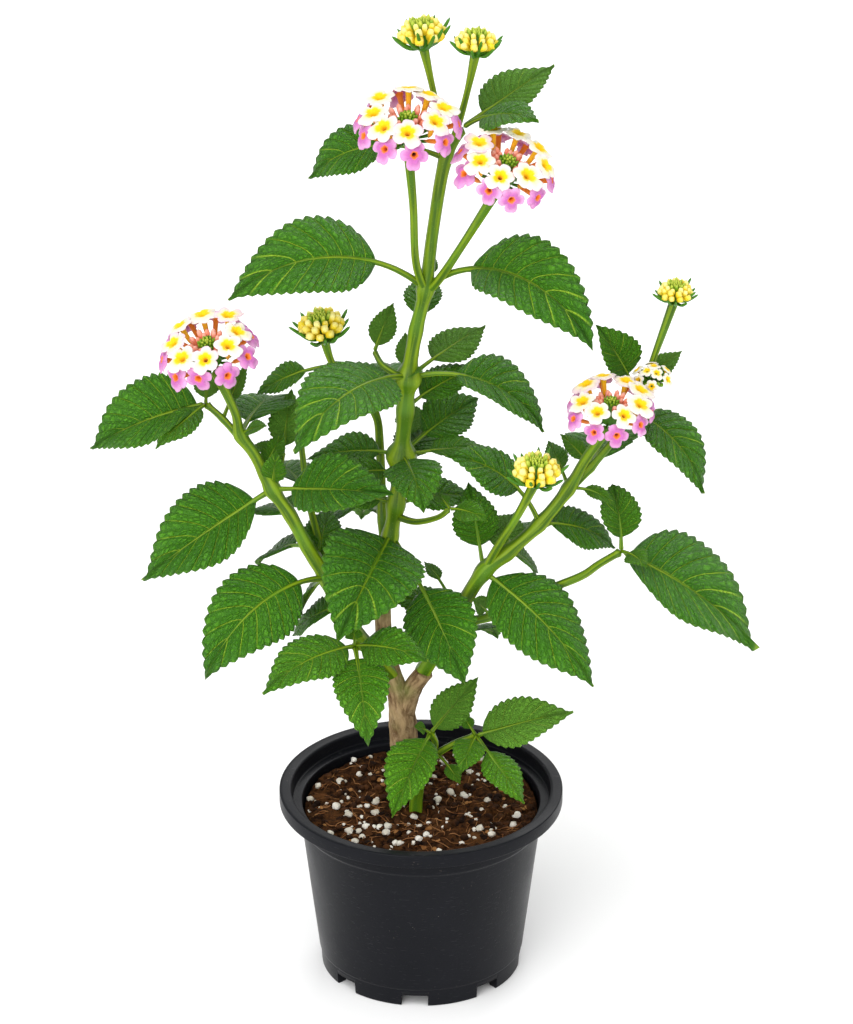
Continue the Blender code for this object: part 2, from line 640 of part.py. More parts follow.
def build_pot():
    lip_inner = RIM_RADIUS - LIP_WIDTH
    lip_foot = POT_HEIGHT - LIP_DEPTH
    ledge = POT_HEIGHT - LEDGE_DEPTH
    floor_top = FOOT_HEIGHT + BASE_THICKNESS
    ledge_inner = COLLAR_RADIUS - WALL
    profile = [
        (0, FOOT_HEIGHT),
        (FOOT_RADIUS - FOOT_WIDTH, FOOT_HEIGHT),
        (FOOT_RADIUS - FOOT_WIDTH, 0),
        (FOOT_RADIUS - 1.0, 0),
        (FOOT_RADIUS - 0.2, 1.0),
        (FOOT_RADIUS, FOOT_HEIGHT + 2.5),
        (wall_radius(FOOT_HEIGHT + 3.5), FOOT_HEIGHT + 3.5),
        (SHOULDER_RADIUS, SHOULDER_HEIGHT),
        (COLLAR_RADIUS, SHOULDER_HEIGHT + 0.8),
        (COLLAR_RADIUS + 0.2, lip_foot - 1.6),
        (lip_inner + 0.4, lip_foot - 1.3),
        (lip_inner + 2.2, lip_foot + 1.6),
        (RIM_RADIUS - 1.3, lip_foot + 1.4),
        (RIM_RADIUS - 1.2, lip_foot),
        (RIM_RADIUS, lip_foot + 0.3),
        (RIM_RADIUS, POT_HEIGHT - 1.6),
        (RIM_RADIUS - 1.4, POT_HEIGHT),
        (lip_inner + 1.2, POT_HEIGHT),
        (lip_inner, POT_HEIGHT - 1.0),
        (lip_inner - 0.2, ledge),
        (ledge_inner, ledge - 0.2),
        (SHOULDER_RADIUS - WALL, SHOULDER_HEIGHT),
        (FOOT_RADIUS - WALL - 0.6, floor_top),
        (0, floor_top),
    ]
    pot = make_object("pot", turned_shape(profile, POT_SEGMENTS), make_material("pot", "pot"))
    cutters = []
    for k in range(FOOT_COUNT):
        angle = FIRST_GAP_ANGLE + 360 * k / FOOT_COUNT
        cutters.append(make_object("foot_gap", foot_gap_shape(angle)))
    for k in range(DRAIN_COUNT):
        turn = 2 * math.pi * k / DRAIN_COUNT
        centre = Vector((DRAIN_RING * math.cos(turn), DRAIN_RING * math.sin(turn), FOOT_HEIGHT))
        cutters.append(make_object("drain", cylinder_shape(centre, DRAIN_RADIUS, 8)))
    combine(pot, cutters, "DIFFERENCE")
    finish(pot, 30)


def soil_height(x, y):
    """The peat's surface: low mounds and hollows, a little higher round the trunk."""
    waves = math.sin(0.21 * x + 1.3) * math.cos(0.19 * y - 0.4) + 0.6 * math.sin(0.47 * x - 0.33 * y)
    mound = 1.2 * math.exp(-((x + 6) ** 2 + (y - 8) ** 2) / 350)
    return SOIL_HEIGHT - 1.2 + SOIL_BUMP * 0.6 * waves + mound


def build_soil():
    bottom = FOOT_HEIGHT + BASE_THICKNESS + GAP
    foot = FOOT_RADIUS - WALL - 0.6 - 2 * GAP
    shoulder = SHOULDER_RADIUS - WALL - GAP
    profile = [(0, bottom), (foot, bottom), (shoulder - GAP, SHOULDER_HEIGHT)]
    profile += [(shoulder + 0.2, SOIL_HEIGHT - 2.0)]
    for ring in range(SOIL_RINGS, -1, -1):
        profile.append(((shoulder - 0.3) * ring / SOIL_RINGS, SOIL_HEIGHT))
    shape = turned_shape(profile, SOIL_SEGMENTS)
    for vertex in shape.verts:
        if vertex.co.z > SOIL_HEIGHT - 0.5:
            vertex.co.z = soil_height(vertex.co.x, vertex.co.y)
    bmesh.ops.triangulate(shape, faces=shape.faces)
    soil = make_object("soil", shape, make_material("soil", "soil"))
    combine(soil, [stalk_cutter("trunk", "soil"), stalk_cutter("base", "soil")], "DIFFERENCE", "MANIFOLD")
    finish(soil, 60)


def build_plant():
    clear_scene()
    build_pot()
    build_soil()
    for name, (runs, seats) in LEAFY_STEMS.items():
        build_leafy_stem(name, runs, seats)
    for name, row in FLOWER_HEADS.items():
        build_flower_head(name, *row)
    for name, row in BUD_HEADS.items():
        build_bud_head(name, *row)


build_plant()
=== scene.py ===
"""The looks of a lantana in a nursery pot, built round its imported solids.

The rows below are in millimetres and degrees, as the plant was designed; a mesh becomes metres when it
becomes an object. +Z is up, -Y is the plant's best side.
"""

import math
import random

import bmesh
import bpy
from mathutils import Matrix, Vector, noise


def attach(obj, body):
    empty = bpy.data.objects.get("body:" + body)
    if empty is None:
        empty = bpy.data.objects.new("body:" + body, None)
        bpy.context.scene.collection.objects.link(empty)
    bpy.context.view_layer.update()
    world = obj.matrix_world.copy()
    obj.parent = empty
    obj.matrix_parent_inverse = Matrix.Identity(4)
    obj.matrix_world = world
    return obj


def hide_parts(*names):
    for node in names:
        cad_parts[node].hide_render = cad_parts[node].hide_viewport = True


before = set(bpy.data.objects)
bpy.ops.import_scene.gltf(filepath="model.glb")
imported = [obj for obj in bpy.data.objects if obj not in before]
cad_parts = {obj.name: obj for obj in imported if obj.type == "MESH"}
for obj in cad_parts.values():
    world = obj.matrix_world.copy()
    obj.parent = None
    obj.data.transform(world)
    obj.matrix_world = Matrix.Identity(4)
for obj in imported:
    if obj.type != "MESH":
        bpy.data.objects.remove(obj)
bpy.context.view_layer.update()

MM = 0.001
BODY = "root"

# Pot
RIM_RADIUS = 60.0
POT_HEIGHT = 83.0
LIP_WIDTH = 5.2
LIP_DEPTH = 6.0
WALL = 1.2
SHOULDER_RADIUS = 51.0
SHOULDER_HEIGHT = 68.5
COLLAR_RADIUS = 51.6
LEDGE_DEPTH = 6.0
FOOT_RADIUS = 43.0
FOOT_WIDTH = 5.0
FOOT_HEIGHT = 5.5
FOOT_COUNT = 8
FOOT_GAP_ANGLE = 15.0
FIRST_GAP_ANGLE = -93.6
BASE_THICKNESS = 1.5
DRAIN_RADIUS = 4.0
DRAIN_RING = 25.0
DRAIN_COUNT = 4
SOIL_HEIGHT = 75.0
SOIL_RADIUS = 49.5
SOIL_EDGE_DROP = 3
SOIL_CLEARANCE = 0.3

# Camera: where it stands, how far it looks down and its lens
CAMERA_PLACE = (0.00233, -2.2, 1.3025)
CAMERA_TILT = 63.645
CAMERA_LENS = 208.55

# Light: the sky's strength, the point that the lamps face, and for each lamp its kind, place, size and power
SKY_STRENGTH = 0.62
LIGHT_TARGET = (0, 0, 0.2)
LAMPS = (
    ("key_light", "SUN", (-0.8, -1.2, 2.2), math.radians(60), 2.0),
    ("front_light", "AREA", (-0.6, -2.0, 0.7), 1.2, 18),
    ("fill_light", "AREA", (1.2, -0.9, 0.9), 1.0, 5),
    ("back_light", "AREA", (0.3, 1.2, 1.2), 0.9, 9),
)

# Stems: rows of x, y, z and radius, from the lower end up
STEMS = {
    "trunk": [
        (-6, 10, 54, 5.9), (-7, 10, 90, 5.8), (-8, 10, 113, 5.6), (-10, 9, 124, 4.4), (-14, 8, 141, 3.6),
        (-16, 7, 159, 3.4), (-15, 5, 181, 3.3), (-13, 4, 195, 3.2),
    ],
    "trunk_arm": [(-8, 10, 111, 4.8), (-4, 8, 125, 4.2), (2, 5, 136, 3.8)],
    "central": [
        (-14, 4, 192, 3.2), (-10, 3, 217, 3.2), (-8, 2, 238, 3.3), (-5, 0, 274, 3.2), (-2, 0, 295, 2.9),
        (2, 0, 314, 2.9), (5, 0, 340, 2.6), (10, 0, 371, 2.7), (17, 2, 384, 1.9),
    ],
    "head_1_stalk": [(2, 0, 312, 1.9), (-2, -7, 329, 1.7), (-3, -13, 356, 1.7), (-5, -18, 383, 2.2)],
    "head_2_stalk": [(2, 0, 312, 1.9), (8, -5, 321, 1.8), (18, -13, 341, 1.7), (31, -21, 367, 2.2)],
    "bud_1_stalk": [(9, 0, 368, 1.8), (7, 4, 388, 1.4), (4, 6, 403, 1.4), (1, 7, 417, 2.2)],
    "bud_2_stalk": [(12, 1, 375, 1.6), (16, 3, 388, 1.5), (19, 4, 400, 1.4), (22, 5, 415, 2.2)],
    "central_twig": [(-5, 0, 272, 1.5), (-11, -4, 278, 1.3), (-16, -2, 281, 1.2), (-19, 6, 283, 1.1)],
    "central_spur": [(-10, 3, 209, 1.6), (-2, -8, 212, 1.4), (7, -18, 219, 1.2), (12, -22, 225, 1.1)],
    "back": [
        (-14, 5, 186, 2.4), (-16, 12, 203, 2.1), (-17, 18, 234, 1.9), (-19, 19, 249, 1.7),
        (-28, 17, 263, 1.5), (-36, 14, 273, 1.4), (-40, 12, 287, 2.2),
    ],
    "left": [
        (-12, 8, 132, 3.4), (-25, -6, 157, 3.1), (-34, -12, 174, 3.0), (-39, -14, 189, 3.0),
        (-47, -14, 204, 2.8), (-54, -13, 218, 2.7), (-61, -12, 229, 2.6), (-68, -11, 244, 2.4),
        (-74, -10, 253, 2.4), (-76, -11, 264, 1.9), (-84, -11, 283, 2.2),
    ],
    "left_shoot": [(-73, -10, 250, 1.7), (-81, -8, 259, 1.4), (-88, -6, 265, 1.3)],
    "left_twig": [(-61, -12, 229, 1.5), (-58, -4, 234, 1.3), (-57, 4, 238, 1.1)],
    "left_back": [(-39, -14, 191, 2.0), (-43, -2, 203, 1.7), (-47, 8, 217, 1.5), (-50, 16, 240, 1.3)],
    "right": [
        (0, 7, 133, 3.6), (8, 0, 151, 3.4), (15, -4, 167, 3.2), (26, -8, 189, 3.0), (36, -8, 198, 2.7),
        (49, -6, 210, 2.6), (61, -3, 225, 2.5), (68, -7, 241, 2.0), (77, -11, 257, 2.2),
    ],
    "bud_5_stalk": [(25, -7, 187, 1.9), (33, -14, 206, 1.7), (40, -19, 221, 1.7), (47, -23, 238, 2.2)],
    "right_top": [
        (60, -3, 223, 1.8), (70, 2, 232, 1.6), (81, 8, 244, 1.5), (90, 13, 258, 1.5), (95, 14, 274, 1.3),
        (104, 14, 303, 2.0),
    ],
    "young_stalk": [(88, 12, 254, 1.3), (92, 9, 262, 1.2), (95, 7, 268, 1.5)],
    "low_right": [
        (14, -4, 163, 2.2), (29, -6, 167, 1.8), (47, 0, 174, 1.7), (66, -3, 184, 1.7),
        (74, -5, 191, 1.6), (83, -9, 199, 1.5),
    ],
    "front": [(-18, 2, 145, 2.0), (-20, -15, 155, 1.7), (-24, -34, 167, 1.6), (-27, -42, 172, 1.6)],
    "base": [(-2, -6, 58, 3.0), (-2, -6, 80, 2.9), (1, -8, 93, 2.2), (6, -10, 105, 1.9)],
    "base_up": [(5, -10, 103, 1.6), (6, -9, 109, 1.5), (4, -10, 114, 1.4)],
    "base_right": [(5, -10, 103, 1.6), (14, -12, 110, 1.4), (23, -14, 115, 1.3)],
}

# Leafy stems and the runs that each holds
LEAFY_STEMS = {
    "central_stem": (
        "central", "head_1_stalk", "head_2_stalk", "bud_1_stalk", "bud_2_stalk", "central_twig",
        "central_spur",
    ),
    "back_stem": ("back",),
    "left_stem": ("left", "left_shoot", "left_twig"),
    "left_back_shoot": ("left_back",),
    "right_stem": ("right", "bud_5_stalk", "right_top", "young_stalk"),
    "low_right_shoot": ("low_right",),
    "front_shoot": ("front",),
    "base_shoot": ("base", "base_up", "base_right"),
}

# Leaves: stem, its row (with a share of the way to the next), heading and rise of the stalk, lengths of
# stalk and blade, droop to the tip, tilt of the face to the front, the blade's width over its length, and
# how steeply its halves fold up from the midrib, where that isn't FOLD
LEAVES = {
    "central_stem": [
        ("central", 7, 166, 23, 24, 40, 74, 30, 0.62),
        ("central", 8, 37, 21, 11, 38, 3, 12, 0.62),
        ("central", 8, 317, 40, 12, 32, 39, 24, 0.62, 0.05),
        ("central", 5, 194, 46, 25, 66, 86, 34, 0.57),
        ("central", 5, 328, 48, 26, 67, 108, 30, 0.52, 0.36),
        ("central", 5, 77, 34, 7, 10, 10, 20, 0.60),
        ("central", 3, 232, 27, 14, 65, 60, 21, 0.58),
        ("central", 3, 354, 20, 20, 46, 82, 12, 0.62, 0.36),
        ("central", 3, 45, 17, 15, 31, 10, 19, 0.62, 0.05),
        ("central_twig", 3, 58, 51, 3, 19, 5, 45, 0.60),
        ("central", 2, 46, 22, 15, 33, 19, 48, 0.64, 0.48),
        ("central", 2, 80, 14, 15, 22, 10, 30, 0.60),
        ("central", 2, 8, 7, 12, 24, 9, 10, 0.62, 0.32),
        ("central", 2, 284, 14, 8, 33, 50, 30, 0.72),
        ("central", 2, 162, 4, 10, 33, 30, 25, 0.55),
        ("central", 1, 138, -15, 19, 31, 30, 20, 0.60),
        ("central", 0.35, 251, -13, 4, 64, 4, 60, 0.66, 0.50),
        ("central", 0.35, 309, -36, 28, 43, 20, 50, 0.70, 0.35),
        ("central_spur", 3, 325, 17, 3, 16, 35, 30, 0.70),
        ("central_spur", 3, 120, 22, 3, 9, 20, 30, 0.70),
        ("central", 4, 80, 34, 9, 26, 30, 5, 0.60),
        ("central", 2.6, 150, 30, 8, 32, 30, 25, 0.60),
        ("central", 2.6, 25, 35, 8, 28, 30, 25, 0.60),
        ("central", 1.6, 70, 25, 9, 30, 30, 25, 0.60),
        ("central", 1.6, 205, 22, 7, 24, 30, 30, 0.60),
        ("central", 0.9, 20, 12, 8, 28, 30, 30, 0.60),
        ("central", 0.9, 185, 25, 7, 20, 30, 35, 0.62),
        ("central", 3, 95, 50, 5, 16, 20, 30, 0.60),
        ("central", 3, 300, 45, 3, 10, 20, 30, 0.60),
    ],
    "left_stem": [
        ("left", 3, 222, 20, 15, 62, 80, 46, 0.56, 0.08),
        ("left", 6, 187, -31, 9, 58, 7, 33, 0.63, 0.38),
        ("left_shoot", 2, 168, -16, 4, 52.5, 21, 30, 0.62, 0.52),
        ("left_shoot", 2, 220, -17, 3, 26, 14, 0, 0.62, 0.05),
        ("left_shoot", 2, 88, 34, 3, 15, 10, 40, 0.70),
        ("left_shoot", 1, 51, 56, 8, 17, 10, 30, 0.40),
        ("left_twig", 2, 79, 53, 3, 25, 10, 40, 0.60),
        ("left_twig", 2, 155, 14, 3, 12, 30, 25, 0.60),
        ("left", 6, 335, 14, 9, 47, 8, 34, 0.63, 0.36),
        ("left", 6, 288, 75, 4, 17, 5, 60, 0.60),
        ("left", 5, 112, -11, 7, 36, 20, 20, 0.60),
        ("left", 4, 127, -17, 11, 33, 30, 20, 0.60),
        ("left", 3, 113, -31, 16, 29, 30, 30, 0.60),
        ("left", 2, 133, -24, 7, 32, 30, 30, 0.55),
        ("left", 8, 74, 12, 12, 46, 40, -10, 0.60),
        ("left", 8, 320, 40, 4, 13, 20, 30, 0.60),
        ("left", 6.5, 60, 45, 4, 16, 20, 30, 0.60),
        ("left", 3.5, 80, 35, 6, 26, 30, 25, 0.60),
        ("left", 1.5, 60, 30, 8, 28, 30, 25, 0.60),
    ],
    "back_stem": [
        ("back", 5, 166, -12, 13, 25, 30, 30, 0.55),
        ("back", 3, 84, 14, 12, 54, 40, -25, 0.60),
        ("back", 1, 100, -4, 12, 50, 40, -25, 0.60),
    ],
    "left_back_shoot": [
        ("left_back", 2, 110, 10, 10, 40, 40, -20, 0.58),
        ("left_back", 3, 336, 31, 3, 9, 20, 10, 0.40),
    ],
    "right_stem": [
        ("right", 3, 329, -21, 5, 62, 30, 20, 0.61, 0.05),
        ("right", 2, 127, 55, 17, 11, 40, 10, 0.60),
        ("right", 3, 108, 62, 11, 27, 10, 60, 0.72),
        ("right", 5, 188, 73, 19, 36, 63, 25, 0.61, 0.05),
        ("right", 5, 21, -3, 6, 34, 47, 26, 0.62, 0.05),
        ("right", 4, 47, -26, 6, 20, 30, 30, 0.60),
        ("right", 6, 340, 17, 7, 15, 60, 30, 0.45),
        ("right", 6, 111, 37, 10, 16, 20, 40, 0.60),
        ("right_top", 2.7, 331, -11, 3, 45, 60, 2, 0.61),
        ("right_top", 3, 166, 68, 12, 25, 16, 36, 0.70, 0.70),
        ("right_top", 3, 36, 57, 11, 17, 41, 21, 0.62),
        ("right_top", 1, 78, 8, 12, 54, 40, -25, 0.60),
        ("right", 4, 84, 4, 14, 52, 45, -25, 0.60),
        ("right", 1, 62, 0, 12, 46, 40, -15, 0.60),
        ("right", 3.5, 75, 30, 7, 26, 30, 25, 0.60),
        ("right", 2, 160, 20, 7, 24, 30, 25, 0.60),
        ("right_top", 1, 150, 50, 5, 14, 20, 30, 0.60),
    ],
    "low_right_shoot": [
        ("low_right", 5, 356, -24, 4, 69, 24, 15, 0.70, 0.33),
        ("low_right", 5, 102, 85, 6, 25, 66, -8, 0.68, 0.60),
        ("low_right", 5, 300, 20, 6, 14, 30, 40, 0.70),
        ("low_right", 1, 238, 52, 6, 14, 15, 50, 0.60),
    ],
    "front_shoot": [
        ("front", 3, 213, 11, 4, 43, 43, 22, 0.60, 0.08),
        ("front", 3, 278, -20, 7, 40, 24, 14, 0.57, 0.46),
        ("front", 3, 330, 21, 3, 32, 34, 32, 0.62, 0.11),
        ("front", 3, 260, 70, 4, 9, 10, 50, 0.80),
    ],
    "base_shoot": [
        ("base_up", 2, 237, -34, 3, 37, 14, 12, 0.60, 0.50),
        ("base_up", 2, 31, 42, 3, 28, 3, 62, 0.58, 0.30),
        ("base_up", 2, 222, 46, 4, 7, 20, 40, 0.80),
        ("base_right", 2, 5, 17, 3, 39, 6, 26, 0.62, 0.24),
        ("base_right", 2, 313, -32, 9, 27, 3, 9, 0.62, 0.05),
        ("base_right", 2, 251, -5, 3, 18, 35, 30, 0.75),
        ("base_right", 2, 124, 33, 4, 7, 10, 50, 0.80),
        ("base", 3, 308, -10, 9, 10, 30, 30, 0.70),
    ],
}

# Blades
FOLD = 0.2
BASE_ROUNDING = 0.7
TIP_TAPER = 1.25
BLADE_PEAK = 0.28
VEIN_PAIRS = 8
VEIN_SWEEP = 0.25
VEIN_SEARCH_STEPS = 20
LEAST_TEETH = 8
TEETH_PER_MM = 0.135
ROWS_PER_TOOTH = 6
TOOTH_CREST = 4 / 6
TOOTH_DEPTH = 0.38
LEAF_THICKNESS = 0.32
LARGE_BLADE = 55.0
BROAD_GRID = 16
NARROW_GRID = 10
NARROW_BLADE = 30

# Relief of a blade: heights in millimetres, or in shares of its width
PAD_HEIGHT = 1.25
PUCKER_HEIGHT = 0.22
MIDRIB_GROOVE = 0.75
CUP_SHARE = 0.055
WAVE_SHARE = 0.035

# Young growth: the blade length where it starts to show, and shoots that are young all over, whose bright
# young colour is partly young growth and partly painted light that lifts the shade low in the plant
YOUNG_BLADE = 38.0
YOUNG_SPAN = 26.0
YOUNG_SHOOTS_WITH_PAINTED_LIGHT = {"base_shoot": 1.0, "front_shoot": 0.45}

# Stem and trunk meshes
PATH_STEPS = 7
STEM_SIDES = 20
STEM_RING_SPACING = 1.6
NODE_SWELLING = 0.13
NODE_REACH = 1.3
TRUNK_SIDES = 28
TRUNK_RING_SPACING = 1.2

# Heads: stalk, width, heading and lean of the axis from upright
FLOWER_HEADS = {
    "flower_head_1": ("head_1_stalk", 48, 270, 14),
    "flower_head_2": ("head_2_stalk", 47, 310, 24),
    "flower_head_3": ("left", 46, 240, 22),
    "flower_head_4": ("right", 42, 280, 16),
}
BUD_HEADS = {
    "bud_head_1": ("bud_1_stalk", 24, 150, 6),
    "bud_head_2": ("bud_2_stalk", 21, 60, 6),
    "bud_head_3": ("back", 24, 220, 12),
    "bud_head_4": ("right_top", 18, 300, 6),
    "bud_head_5": ("bud_5_stalk", 24, 280, 10),
}
YOUNG_HEAD = ("young_stalk", 19, 270, 20)
CORE_SHARE = 0.27
HEAD_SINK = 3.0
BUD_SINK = 2.5
PETAL_THICKNESS = 0.28
FLORET_SIDES = 40
FLORET_RINGS = 16

# Rings of a head, from the outside in: their count, their distance from the axis and height over the
# centre in shares of the head's width, then a floret's tilt, size, depth and cup, or a bud's size
LILAC_RING = (10, 0.400, 0.045, 65, 0.265, 0.25, 0.08)
CREAM_RING = (8, 0.290, 0.180, 22, 0.300, 0.20, 0.28)
SALMON_RINGS = ((12, 0.165, 0.150, 0.058), (8, 0.118, 0.155, 0.052))
YELLOW_RINGS = ((11, 0.425, 0.09, 0.185), (11, 0.365, 0.21, 0.155), (9, 0.275, 0.29, 0.130))
GREEN_RING = (8, 0.195, 0.325, 0.095)
YOUNG_RINGS = ((6, 0.34, 0.14, 52), (3, 0.12, 0.28, 18))
GOLDEN_TURN = 2.4

# Lobes of a corolla: the middle of each in degrees, its reach and its half angle
LOBES = ((0, 1.06, 41), (82, 0.90, 40), (-82, 0.90, 40), (150, 0.88, 38), (-150, 0.88, 38))
MOUTH_STEP = 0.25
MOUTH_SHARE = 0.16

# Litter on the soil
LITTER_RADIUS = SOIL_RADIUS - 2
CRUMB_COUNT = 420
PERLITE_COUNT = 190
CHIP_COUNT = 70
FIBRE_COUNT = 190


def new_shape():
    """An empty bmesh with a UV map and a point value for how young the growth is."""
    shape = bmesh.new()
    shape.loops.layers.uv.new("UVMap")
    shape.verts.layers.float.new("youth")
    return shape


def new_object(name, data):
    """An object of the scene that holds the data; a bmesh becomes its mesh and is used up."""
    if isinstance(data, bmesh.types.BMesh):
        mesh = bpy.data.meshes.new(name)
        data.to_mesh(mesh)
        data.free()
        data = mesh
    made = bpy.data.objects.new(name, data)
    bpy.context.scene.collection.objects.link(made)
    return made


def finish_piece(name, shape, finishes, nodes=(), crease=60):
    """The bmesh as a piece in metres that rides on the plant and stands for its nodes."""
    bmesh.ops.recalc_face_normals(shape, faces=shape.faces)
    bmesh.ops.scale(shape, vec=(MM, MM, MM), verts=shape.verts)
    piece = new_object(name, shape)
    for finish in finishes:
        piece.data.materials.append(finish)
    piece.data.shade_smooth()
    piece.data.set_sharp_from_angle(angle=math.radians(crease))
    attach(piece, BODY)
    if nodes:
        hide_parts(*nodes)
    return piece


def thicken(piece, thickness, offset, under=0):
    """A wall made from the piece's sheet, whose lower side takes the finish that many slots further on."""
    wall = piece.modifiers.new("Thickness", "SOLIDIFY")
    wall.thickness = thickness * MM
    wall.offset = offset
    wall.material_offset = under


def arrange(shape, verts, size, turn, shift):
    """Scale vertices, then turn them about the origin, then move them."""
    bmesh.ops.scale(shape, vec=size, verts=verts)
    bmesh.ops.rotate(shape, cent=(0, 0, 0), matrix=turn, verts=verts)
    bmesh.ops.translate(shape, vec=shift, verts=verts)


def sheet(shape, across, along, place, youth=0.0, length=1.0):
    """A grid whose points go where place(u, v) says, with V in the map scaled to a length."""
    made = bmesh.ops.create_grid(shape, x_segments=across, y_segments=along, size=0.5, calc_uvs=True)["verts"]
    age = shape.verts.layers.float["youth"]
    uv_map = shape.loops.layers.uv["UVMap"]
    for vertex in made:
        vertex.co = place(vertex.co.x + 0.5, vertex.co.y + 0.5)
        vertex[age] = youth
    for face in {face for vertex in made for face in vertex.link_faces}:
        for loop in face.loops:
            loop[uv_map].uv.y *= length
    return made


def smooth_path(rows, steps):
    """Points on a Catmull-Rom curve through the rows, with their radius."""
    points = [Vector(row) for row in rows]
    points = [points[0] * 2 - points[1]] + points + [points[-1] * 2 - points[-2]]
    made = []
    for a, b, c, d in zip(points, points[1:], points[2:], points[3:]):
        square_part = 2 * a - 5 * b + 4 * c - d
        cube_part = 3 * b - a - 3 * c + d
        for k in range(steps):
            t = k / steps
            made.append(0.5 * (2 * b + (c - a) * t + square_part * t ** 2 + cube_part * t ** 3))
    made.append(points[-2])
    return made


class Route:
    """A curve in space with a steady frame along it, read at any share of its length."""

    def __init__(self, points):
        self.rows = points
        self.points = [Vector(point[:3]) for point in points]
        self.distance = [0.0]
        for a, b in zip(self.points, self.points[1:]):
            self.distance.append(self.distance[-1] + (b - a).length)
        self.length = self.distance[-1]
        last = len(self.points) - 1
        self.frames = []
        across = None
        for i in range(last + 1):
            along = (self.points[min(i + 1, last)] - self.points[max(i - 1, 0)]).normalized()
            if across is None:
                across = along.orthogonal().normalized()
            across = (across - along * across.dot(along)).normalized()
            self.frames.append((across, along.cross(across)))

    def locate(self, share):
        """The index below a share of the length, and how far it is towards the next."""
        wanted = share * self.length
        low = 0
        high = len(self.points) - 1
        while high - low > 1:
            middle = (low + high) // 2
            if self.distance[middle] <= wanted:
                low = middle
            else:
                high = middle
        span = self.distance[low + 1] - self.distance[low]
        return low, min(max((wanted - self.distance[low]) / span, 0), 1)

    def radius(self, share):
        """The radius at a share of the length, for rows that hold one."""
        low, part = self.locate(share)
        return self.rows[low][3] * (1 - part) + self.rows[low + 1][3] * part

    def place(self, share):
        """The centre at a share of the length, and the two directions square to the curve there."""
        low, part = self.locate(share)
        centre = self.points[low].lerp(self.points[low + 1], part)
        across = self.frames[low][0].lerp(self.frames[low + 1][0], part).normalized()
        beside = self.frames[low][1].lerp(self.frames[low + 1][1], part).normalized()
        return centre, across, beside


def tube(shape, points, radius, around, along, section=None, youth=0.0, blunt=0.02):
    """A closed tube along points: radius(share) gives its size, section(turn, share) its outline."""
    route = Route(points)

    def place(u, v):
        turn = 2 * math.pi * u
        centre, across, beside = route.place(v)
        size = radius(v)
        if v < blunt / 2 or v > 1 - blunt / 2:
            size = 0.0
        if section:
            size *= section(turn, v)
        return centre + (across * math.cos(turn) + beside * math.sin(turn)) * size

    made = sheet(shape, around, along, place, youth, route.length)
    bmesh.ops.remove_doubles(shape, verts=made, dist=1e-4)


def axis_frame(heading, lean):
    """A matrix whose Z leans from upright towards a heading."""
    return Matrix.Rotation(math.radians(heading), 3, "Z") @ Matrix.Rotation(math.radians(lean), 3, "Y")


def stem_point(stem, row):
    """A place on a stem's axis, at a row or part of the way to the next."""
    rows = STEMS[stem]
    below = Vector(rows[int(row)][:3])
    above = Vector(rows[min(int(row) + 1, len(rows) - 1)][:3])
    return below.lerp(above, row - int(row))


# Finishes


